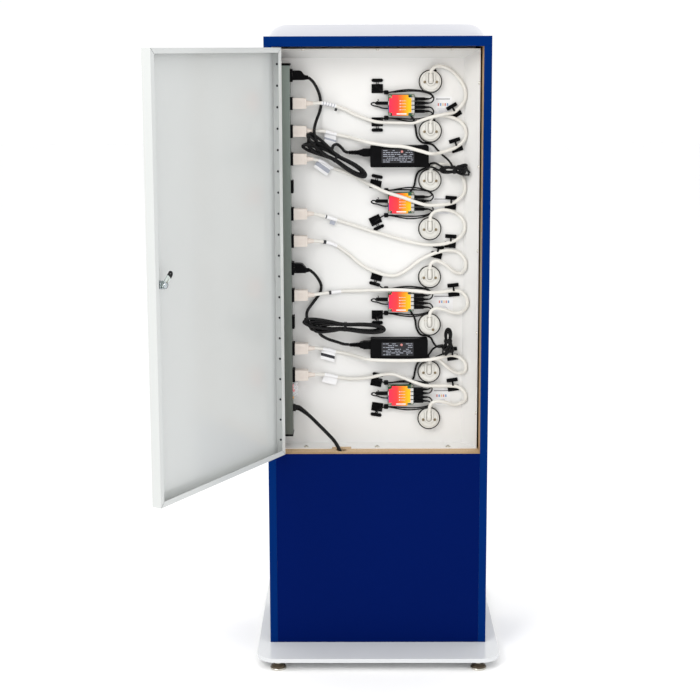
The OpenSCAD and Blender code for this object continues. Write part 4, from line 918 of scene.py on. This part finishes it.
# screws at the hubs, the tray's edges, the ledge and the strike
COUNTERSUNK = [(4.4, 0), (4.4, 0.7), (3.6, 2.2), (1.5, 2.6), (0, 2.6)]
for z in HUB_Z:
    for sx, sz in CORNERS:
        p = (HUB_X + sx * 28.5, HUB_Y + 1.6, z + sz * 22)
        add_lathe(sc, (p[0], WALL, p[2]), (0, 1, 0), [(2.6, 0), (2.6, 6)], 6)
        add_lathe(sc, p, (0, 1, 0), [(3.0, 0), (3.0, 1.1), (2.2, 1.9), (0, 2.1)], 20)
        cross(sc, p, 1.7, 1.8, z)
for z in (611, 815, 1019, 1226, 1428):
    add_lathe(sc, (-246, 143.5, z), (1, 0, 0), COUNTERSUNK, 24)
    # dark slot across the head: painted shade in the slot
    add_box(sc, (-243.6, 141, z - 0.35), (-243.2, 146, z + 0.35), 1)
for x in (-179, 0, 180):
    add_lathe(sc, (x, 143.5, 1509), (0, 0, -1), COUNTERSUNK, 24)
for x in (-177, 1, 179):
    add_lathe(sc, (x, 134, 522.5), (0, 0, 1),
              [(6.4, 0), (6.4, 0.8), (4.6, 0.9), (4.4, 2.6), (2.4, 3.6), (0, 3.8)], 24)
    # dark cross on the head: painted shade in its slots
    for q in (0, 90):
        add_box(sc, (x - 2.4, 133.6, 525.7), (x + 2.4, 134.4, 526.5), 1,
                Matrix.Rotation(math.radians(q), 3, "Z"), (x, 134, 526))
for dz in (-48, 48):
    add_lathe(sc, (-252.5, 167, LOCK_Z + dz), (1, 0, 0), [(3.2, -0.6), (3.2, 0), (2.4, 0.4), (0, 0.4)], 20)
piece("screw_heads", sc, "zinc ink brass_dark", replaces=["fixing_screws"], shade=34)

# ---------------------------------------------------------------- adhesive clips
# x, z and turn in degrees; a clip on a white flex also has the height of its strap
CENTRE = ((0, 1425, 0), (0, 1322, 180), (2, 1190, -12), (0, 1080, 205), (4, 939, 165), (0, 841, 180),
          (0, 690, -12), (2, 604, 172))
CORD = ((-187, 1362, 30, 14.5), (-193, 1278, 18, 13), (-182, 1136, -4, 14), (-182, 1040, -4, 12),
        (-150, 1014, -14, 12.5), (-190, 917, 6, 14.5), (-188, 754, 8, 15), (-190, 675, 8, 12.5))
STRAP = 1.2
bm = bmesh.new()
rnd = random.Random(5)


def pad_plate(bm, z, w, h, r, y0, y1):
    add_prism(bm, rounded_rect(0, z, w, h, r, 3), y0, y1)


def strap(bm, x, half, points):
    """A flat strap along points of (y, z)."""
    bridge(bm, [[bm.verts.new((q.x + dx, q.y + dy, q.z)) for dx, dy in ((-half, 0), (half, 0), (half, STRAP),
                                                                      (-half, STRAP))]
                for q in smooth([(x, y, z) for y, z in points], 5)])


def place_clip(bm, fresh, x, z, turn):
    rot = Matrix.Rotation(math.radians(turn), 3, "Y")
    bmesh.ops.rotate(bm, cent=(0, 0, 0), matrix=rot, verts=fresh)
    bmesh.ops.translate(bm, vec=(x, WALL, z), verts=fresh)


for x, z, turn in CENTRE:  # big pads: the leads' slack is folded under two bands, beside a round-ended bar
    before = set(bm.verts)
    pad_plate(bm, -11, 28, 22, 1.0, 0.1, 1.2)
    pad_plate(bm, -11, 27, 21, 0.9, 1.2, 3.6)
    for xx in (-10, -5, 0, 5, 10):
        fold = [(xx + rnd.uniform(-1, 1), 3.6, -2), (xx + rnd.uniform(-2, 2), 5.6, -7),
                (xx + rnd.uniform(-2, 2), 5.4, -14), (xx + rnd.uniform(-1, 1), 3.6, -20)]
        add_tube(bm, smooth(fold, 5), 1.7, 8)
    for zz in (-7.5, -15):
        pad_plate(bm, zz, 26, 2.6, 0.8, 3.4, 6.6)
    add_prism(bm, arc(10, 9, 4.1, -90, 90, 12) + arc(-10, 9, 4.1, 90, 270, 12), 0.4, 3.9)
    for cx in (-2.3, 2.3):
        strap(bm, cx, 0.9, ((2.4, -3), (2.8, -1.5), (3, 1.5), (3, 4), (2.6, 6.5), (2.4, 9)))
    place_clip(bm, [v for v in bm.verts if v not in before], x, z, turn)
for x, z, turn, top in CORD:  # small pads, each with one strap over a white flex
    before = set(bm.verts)
    pad_plate(bm, -12, 28, 15, 1.0, 0.1, 1.2)
    pad_plate(bm, -12, 27, 14, 0.9, 1.2, 3.6)
    pad_plate(bm, 9.5, 28, 9, 1.2, 0.3, 3.9)
    strap(bm, 0, 2.2, ((2.4, -7.5), (top - 0.4, -2.7), (top, 1.0), (top, 2.6), (top - 1.0, 5.5), (2.4, 9)))
    place_clip(bm, [v for v in bm.verts if v not in before], x, z, turn)
piece("clip_bodies", bm, "black_moulded", replaces=["cable_clips"], shade=34, bevel=0.25,
      segments=1)


# ---------------------------------------------------------------- wrap labels and flags on the white flexes
def at_x(path, x):
    """Point and direction of a path where it first passes x."""
    for a, b in zip(path, path[1:]):
        if (a.x - x) * (b.x - x) <= 0 and a.x != b.x:
            return a.lerp(b, (a.x - x) / (a.x - b.x)), (b - a).normalized()


def sleeve(bm, path, x, length, mat=0, grow=0.25):
    """A label wrapped round a flex."""
    pts = [p for p in path if x - length / 2 <= p.x <= x + length / 2]
    if len(pts) < 3:
        c, d = at_x(path, x)
        pts = [c - d * length / 2, c, c + d * length / 2]
    add_tube(bm, pts, WHITE_R + grow, 24, mat)


def flag(bm, path, x, w, h, curl, mat=0, tilt=0.0, bar=None):
    """A folded label's tail below the flex; bar is a printed bar's material, first row and last row."""
    rows, cols = 7, 5
    c, d = at_x(path, x)
    d = Vector((d.x, d.y * 0.3, d.z)).normalized()
    down = Vector((d.z, 0, -d.x))
    down = -down if down.z > 0 else down
    rim = [(0, j) for j in range(cols)] + [(i, cols - 1) for i in range(1, rows)] \
        + [(rows - 1, j) for j in range(cols - 2, -1, -1)] + [(i, 0) for i in range(rows - 2, 0, -1)]
    rings = []
    for thick in (0, 0.25):
        grid = {}
        for i in range(rows):
            for j in range(cols):
                f, g = i / (rows - 1), j / (cols - 1) - 0.5
                out = Vector((0, curl * f * f + thick + 0.8 * f * math.sin(3 * g), 0))
                grid[i, j] = bm.verts.new(c + d * (w * g + tilt * f * w) + down * (4.0 + h * f) + out)
        for i in range(rows - 1):
            printed = bar and bar[1] <= i <= bar[2]
            for j in range(cols - 1):
                face = bm.faces.new((grid[i, j], grid[i, j + 1], grid[i + 1, j + 1], grid[i + 1, j]))
                face.material_index = bar[0] if printed else mat
        rings.append([grid[spot] for spot in rim])
    bridge(bm, rings, mat, caps=False)


bm = bmesh.new()
P = WHITE_PATH
for k, *rest in ((0, 119, 38), (1, 114, 30), (2, 128, 40), (3, 116, 32), (3, 127, 3, 2, 0.4), (4, 117, 34),
                 (4, 131, 7, 2, 0.4), (5, 104, 32), (5, 118, 6, 2, 0.4), (6, 122, 36), (7, 116, 36)):
    sleeve(bm, P[k], *rest)
for k in range(5):
    sleeve(bm, P[0], 106 + 6.5 * k, 1.6, 1, 0.4)
for k, *rest in ((0, 99, 6, 7, 1.5, 2), (1, 114, 30, 27, 4, 0, 0.25, (1, 2, 2)), (3, 108, 13, 10, 1.5, 1),
                 (2, 128, 40, 20, 3, 0, 0.05, (1, 1, 3)), (6, 122, 36, 22, 3, 0, 0.1, (2, 2, 3)),
                 (7, 116, 36, 16, 2, 0, -0.05)):
    flag(bm, P[k], *rest)
piece("flex_labels", bm, "paper paper_grey ink", shade=50)

# stickers on the tray wall: blank ground, small colour blocks, thin pale lines
bm = bmesh.new()
STICKERS = ((-183, -139, 1351, 1394), (-189, -136, 1104, 1148), (-189, -137, 860, 904), (-184, -138, 620, 662))
for k, (x0, x1, z0, z1) in enumerate(STICKERS):
    rnd = random.Random(70 + k)
    xc, zc = (x0 + x1) / 2, (z0 + z1) / 2
    marks = [(x0 + 5, x1 - 5, z1 - 6.6, z1 - 5.0, 5)]
    for j, colour in enumerate((2, 4, 3, 2, 4)):
        marks.append((x0 + 9 + j * 5.6, x0 + 12.6 + j * 5.6, zc - 1, zc + 5.5, colour))
    for row in range(4):
        zz, w = z0 + 13 - row * 3.2, rnd.uniform(8, 14)
        marks.append((xc - w, xc + w, zz - 0.45, zz + 0.45, 1))
    add_box(bm, (x0, WALL, z0), (x1, WALL + 0.12, z1))
    for a, b, c, d, m in marks:
        add_box(bm, (a, WALL + 0.1, c), (b, WALL + 0.2, d), m)
piece("wall_stickers", bm, "paper paper_grey ink_blue ink_gold ink_red ink")

# ---------------------------------------------------------------- the outlet strip's own parts
FREE_OUTLETS, PORT = (4, 9), 15.5
bm = bmesh.new()
for i, z in enumerate(OUTLET):
    y0, y1, z0, z1 = STRIP_Y - PORT, STRIP_Y + PORT, z - PORT, z + PORT
    # a frame round a sunk face, and the box behind it
    for lo, hi in (((206.8, y0, z0), (212, y1, z1)), ((FACE, y0, z0), (206.8, y1, z0 + 2)),
                   ((FACE, y0, z1 - 2), (206.8, y1, z1)), ((FACE, y0, z0 + 2), (206.8, y0 + 2, z1 - 2)),
                   ((FACE, y1 - 2, z0 + 2), (206.8, y1, z1 - 2))):
        add_box(bm, lo, hi)
    # flat dark patches in the open sockets' holes: painted shade in the wells
    if i in FREE_OUTLETS:  # dark wells of the open sockets
        for s in SIDES:
            add_box(bm, (206.6, STRIP_Y + s * 6.4 - 1, z - 1), (206.85, STRIP_Y + s * 6.4 + 1, z + 7.5), 1)
        add_lathe(bm, (206.85, STRIP_Y, z - 7), (-1, 0, 0), [(2.6, 0), (2.6, 0.25), (0, 0.25)], 20, 1)
    add_box(bm, (212, STRIP_Y - 13.8, z - 13.8), (240, STRIP_Y + 13.8, z + 13.8))
piece("outlet_faces", bm, "black_moulded ink", replaces=["strip_outlets"], bevel=0.35)

# gland and its ribbed sleeve, which bends with the mains cord
GLAND_X, SLEEVE_SIDES = 198, 28
line = [p for p in MAINS_PATH if p.z > 585]
dist = [0.0]
for a, b in zip(line, line[1:]):
    dist.append(dist[-1] + (b - a).length)


def on_line(s):
    """Point and direction s mm along the cord; before its start, on the gland's axis."""
    if s <= 0:
        return Vector((GLAND_X - s, STRIP_Y, GLAND_Z)), Vector((-1, 0, 0))
    k = next(k for k in range(len(line) - 1) if dist[k + 1] >= s)
    t = (s - dist[k]) / (dist[k + 1] - dist[k])
    return line[k].lerp(line[k + 1], t), (line[k + 1] - line[k]).normalized()


bm = bmesh.new()
add_lathe(bm, (0, STRIP_Y, GLAND_Z), (1, 0, 0),
          [(0, 212.5), (9.5, 212.5), (9.5, 206.5), (8.6, 205.2), (7.2, 205), (7.2, 203.4)], 32)
rings = []
SLEEVE = ribs(11, 3.4, (7.2, 0.22, -8), (7.2, 0.22, -5.8), (6.3, 0.22, -5.6), (6.3, 0.22, -4.8)) + [(4.6, 32.5)]
for r, s in SLEEVE:
    c, d = on_line(s)
    v = d.cross(Vector((0, 1, 0))).normalized()
    u = v.cross(d)
    rings.append([bm.verts.new(c + (u * cos + v * sin) * r) for cos, sin in turns_of(SLEEVE_SIDES)])
bridge(bm, rings)
piece("strip_gland_sleeve", bm, "black_soft", replaces=["strip_gland"], shade=32)

# clear guard round the rocker: a wall on four sides and a rim on the strip
bm = bmesh.new()
for x0, x1, y0, y1, z0, z1 in (
        (200, 212, -14, -12.8, -17, 17), (200, 212, 12.8, 14, -17, 17), (200, 212, -12.8, 12.8, -17, -15.8),
        (200, 212, -12.8, 12.8, 15.8, 17), (200, 201.2, -12.8, -8, -15.8, 15.8),
        (200, 201.2, 8, 12.8, -15.8, 15.8), (200, 201.2, -8, 8, -15.8, -11), (200, 201.2, -8, 8, 11, 15.8)):
    add_box(bm, (x0, STRIP_Y + y0, ROCKER_Z + z0), (x1, STRIP_Y + y1, ROCKER_Z + z1))
piece("rocker_guard", bm, "clear_guard", replaces=["switch_guard"], bevel=0.3)

bm = bmesh.new()
add_lathe(bm, (216, STRIP_Y, LAMP_Z), (-1, 0, 0), [(3, 0), (3, 4.6), (2.6, 5.6), (1.5, 6.3), (0, 6.5)], 28)
piece("pilot_lens", bm, "amber", replaces=["strip_lamp"], shade=50)

# ---------------------------------------------------------------- door details
DOOR_TURN = Matrix.Rotation(-math.radians(DOOR_OPEN), 3, "Z")
DOOR_Z0, DOOR_Z1 = 525.0, 1514.0
FLANGE_X, FLANGE_Y = 249, 170.98


def on_door(x, y, z):
    """A point of the closed door, in mm, swung to where the door stands open."""
    v = DOOR_TURN @ Vector((x - HINGE_X, y - HINGE_Y, 0))
    return Vector((v.x + HINGE_X, v.y + HINGE_Y, z))


# blind rivet heads in black along the hinge flange: painted shade in its holes; and thin seams at the mitred
# corners of the folded edge
bm = bmesh.new()
for k in range(19):
    fresh = set(bm.verts)
    add_lathe(bm, (0, 0, 0), (-1, 0, 0),
              [(2.9, -0.2), (2.9, 0.3), (2.2, 0.9), (0.9, 1.0), (0.8, 0.3), (0, 0.3)], 24)
    for v in (q for q in bm.verts if q not in fresh):
        v.co = on_door(247.8 + v.co.x, 183 + v.co.y, 561 + 50.8 * k + v.co.z)
for sx, sz in CORNERS:
    z = DOOR_Z0 if sz > 0 else DOOR_Z1
    a, b = ((sx * (d - FLANGE_X), z + sz * d) for d in (0.8, 12))
    bridge(bm, [[bm.verts.new(on_door(x, y, z)) for x, z in ((a[0] - 0.4, a[1]), (a[0] + 0.4, a[1]),
                                                            (b[0] + 0.4, b[1]), (b[0] - 0.4, b[1]))]
                for y in (FLANGE_Y, FLANGE_Y - 0.1)])
piece("door_lip_holes", bm, "ink", body="door", shade=30)

bm = bmesh.new()
add_lathe(bm, on_door(-224, 165.5, LOCK_Z), (-math.sin(math.radians(DOOR_OPEN)), 0.5, 0),
          [(0, -0.2), (7.4, -0.2), (7.6, 0.6), (7.3, 2.6), (6.2, 4.3), (4.2, 5.5), (2.0, 6.0), (0, 6.1)], 40)
piece("cam_cap_nut", bm, "nut_metal", body="lock_cam", shade=40)

# ---------------------------------------------------------------- CAD parts that keep their shape
for node, mat, width, segments, slot in (
        ("strip_housing", "alu_grey", 0.5, 2, "strip_alu"),
        ("strip_end_caps", "black_moulded", 0.9, 3, "strip_plastic"),
        ("strip_rocker", "red_clear", 0.5, 3, "rocker_red"),
        ("door_pan", "door_white", 0.5, 3, "white_steel"),
        ("lock_body", "nut_metal", 0.5, 3, "lock_chrome"),
        ("lock_cam", "dipped_steel", 0.4, 2, "lock_steel"),
        ("hinge_leaf_door", "steel", 0.15, 1, "hinge_steel"),
        ("hinge_leaf_cabinet", "steel", 0.15, 1, "hinge_steel"),
        ("hinge_pin", "steel", 0.15, 1, "pin_steel"),
        ("cabinet_sides", "blue_board", 0.7, 3, "blue_board"),
        ("cabinet_top", "blue_board", 0.7, 3, "blue_board"),
        ("lower_rear_panel", "blue_panel", 0.7, 3, "blue_board"),
        ("ledge_shelf", "board", 0.4, 2, "raw_board"),
        ("cabinet_floor", "board", 0.4, 2, "raw_board"),
        ("base_plate", "base_white", 1.2, 3, "white_steel"),
        ("front_fascia", "fascia_white", 1.2, 3, "white_fascia"),
        ("service_tray", "white_powder", 0.45, 3, "white_steel"),
        ("charging_bay", "white_powder", 0.5, 2, "white_steel"),
        ("phone_shelves", "white_powder", 0.4, 2, "white_steel"),
        ("strike_plate", "zinc", 0.2, 1, "strike_steel"),
        ("charging_modules", "white_cap", 0.6, 3, "module_white")):
    soften(node, mat, width, segments)

# ---------------------------------------------------------------- charging modules on the user's side
bm, contacts = bmesh.new(), bmesh.new()
for z in POS:
    add_lathe(bm, (MOD_X, 82.5, z), (0, -1, 0), [(26.4, -0.2), (26.4, 0.5), (26.8, 0.9), (29.4, 0.9),
                                                (29.9, 0.5), (29.9, -0.2), (26.4, -0.2)], 72, closed=False)
    for s in SIDES:
        add_box(contacts, (MOD_X + s * 6.4 - 0.9, 84.6, z + 0.2), (MOD_X + s * 6.4 + 0.9, 87.8, z + 6.8))
    add_lathe(contacts, (MOD_X, 84.6, z - 7), (0, 1, 0), [(0, 0), (2.2, 0), (2.2, 3.0), (0, 3.0)], 24)
bmesh.ops.remove_doubles(bm, verts=bm.verts, dist=0.001)
piece("module_grip_rings", bm, "black_moulded", shade=40)
piece("module_contacts", contacts, "ink", shade=40, bevel=0.15, segments=1)

# ---------------------------------------------------------------- levelling feet
for n in ("foot_front_left", "foot_front_right", "foot_rear_left", "foot_rear_right"):
    lo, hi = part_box(n)
    fx, fy = ((lo[k] + hi[k]) / 2 / MM for k in (0, 1))
    bm = bmesh.new()
    for z, profile, sides, mat, closed in (
            (0, [(0, 0), (19.2, 0), (20, 0.8), (20, 3.4), (19.4, 4.2)], 48, 1, False),
            (0, [(19.4, 4.2), (18.2, 4.6), (17.4, 8.2), (16, 9.4), (13.5, 10.6), (12, 13), (8, 13.4),
                 (0, 13.4)], 48, 0, False),
            (13.3, [(0, 0), (9.2, 0), (9.9, 0.7), (9.9, 6.2), (9.2, 7), (0, 7)], 6, 1, True),
            (12, [(0, 0), (4.9, 0), (4.9, 15.6), (0, 15.6)], 24, 1, True)):
        add_lathe(bm, (fx, fy, z), (0, 0, 1), profile, sides, mat, closed)
    piece(n.replace("foot", "levelling_foot"), bm, "foot_brown zinc", body=n,
          replaces=[n], shade=34)

# ---------------------------------------------------------------- floor and light
surface("floor_paint", (0.98, 0.98, 0.98), 0.6, tint=0.006, tint_scale=1.2, grain=0.05, grain_scale=260,
        grain_depth=0.00008)
bpy.ops.mesh.primitive_plane_add(size=40, location=(0, 0, 0))
floor = bpy.context.object
floor.name = "studio_floor"
floor.data.materials.append(M["floor_paint"])

world = bpy.data.worlds.new("studio") if not bpy.data.worlds else bpy.data.worlds[0]
scene.world = world
world.use_nodes = True
bg = next(n for n in world.node_tree.nodes if n.type == "BACKGROUND")
bg.inputs["Color"].default_value = (1.0, 1.0, 1.0, 1)
bg.inputs["Strength"].default_value = 1.03
scene.view_settings.view_transform = "Standard"
scene.view_settings.look = "None"


def area(name, at, target, size, size_y, power, colour=(1, 1, 1)):
    light = bpy.data.lights.new(name, "AREA")
    light.shape = "RECTANGLE"
    light.size, light.size_y, light.energy, light.color = size, size_y, power, colour
    ob = bpy.data.objects.new(name, light)
    ob.location = at
    ob.rotation_euler = (Vector(target) - Vector(at)).to_track_quat("-Z", "Y").to_euler()
    scene.collection.objects.link(ob)


area("key", (2.0, 3.0, 3.2), (0, 0.1, 1.0), 1.5, 1.3, 60, (1.0, 0.985, 0.96))
area("fill", (-2.6, 2.4, 1.8), (0, 0.1, 0.9), 2.0, 2.4, 14, (0.95, 0.97, 1.0))
area("over", (0.0, 0.6, 4.2), (0, 0.05, 0.6), 2.6, 2.2, 22)
area("behind", (0.6, -3.0, 2.6), (0, 0, 0.9), 2.6, 2.0, 4)
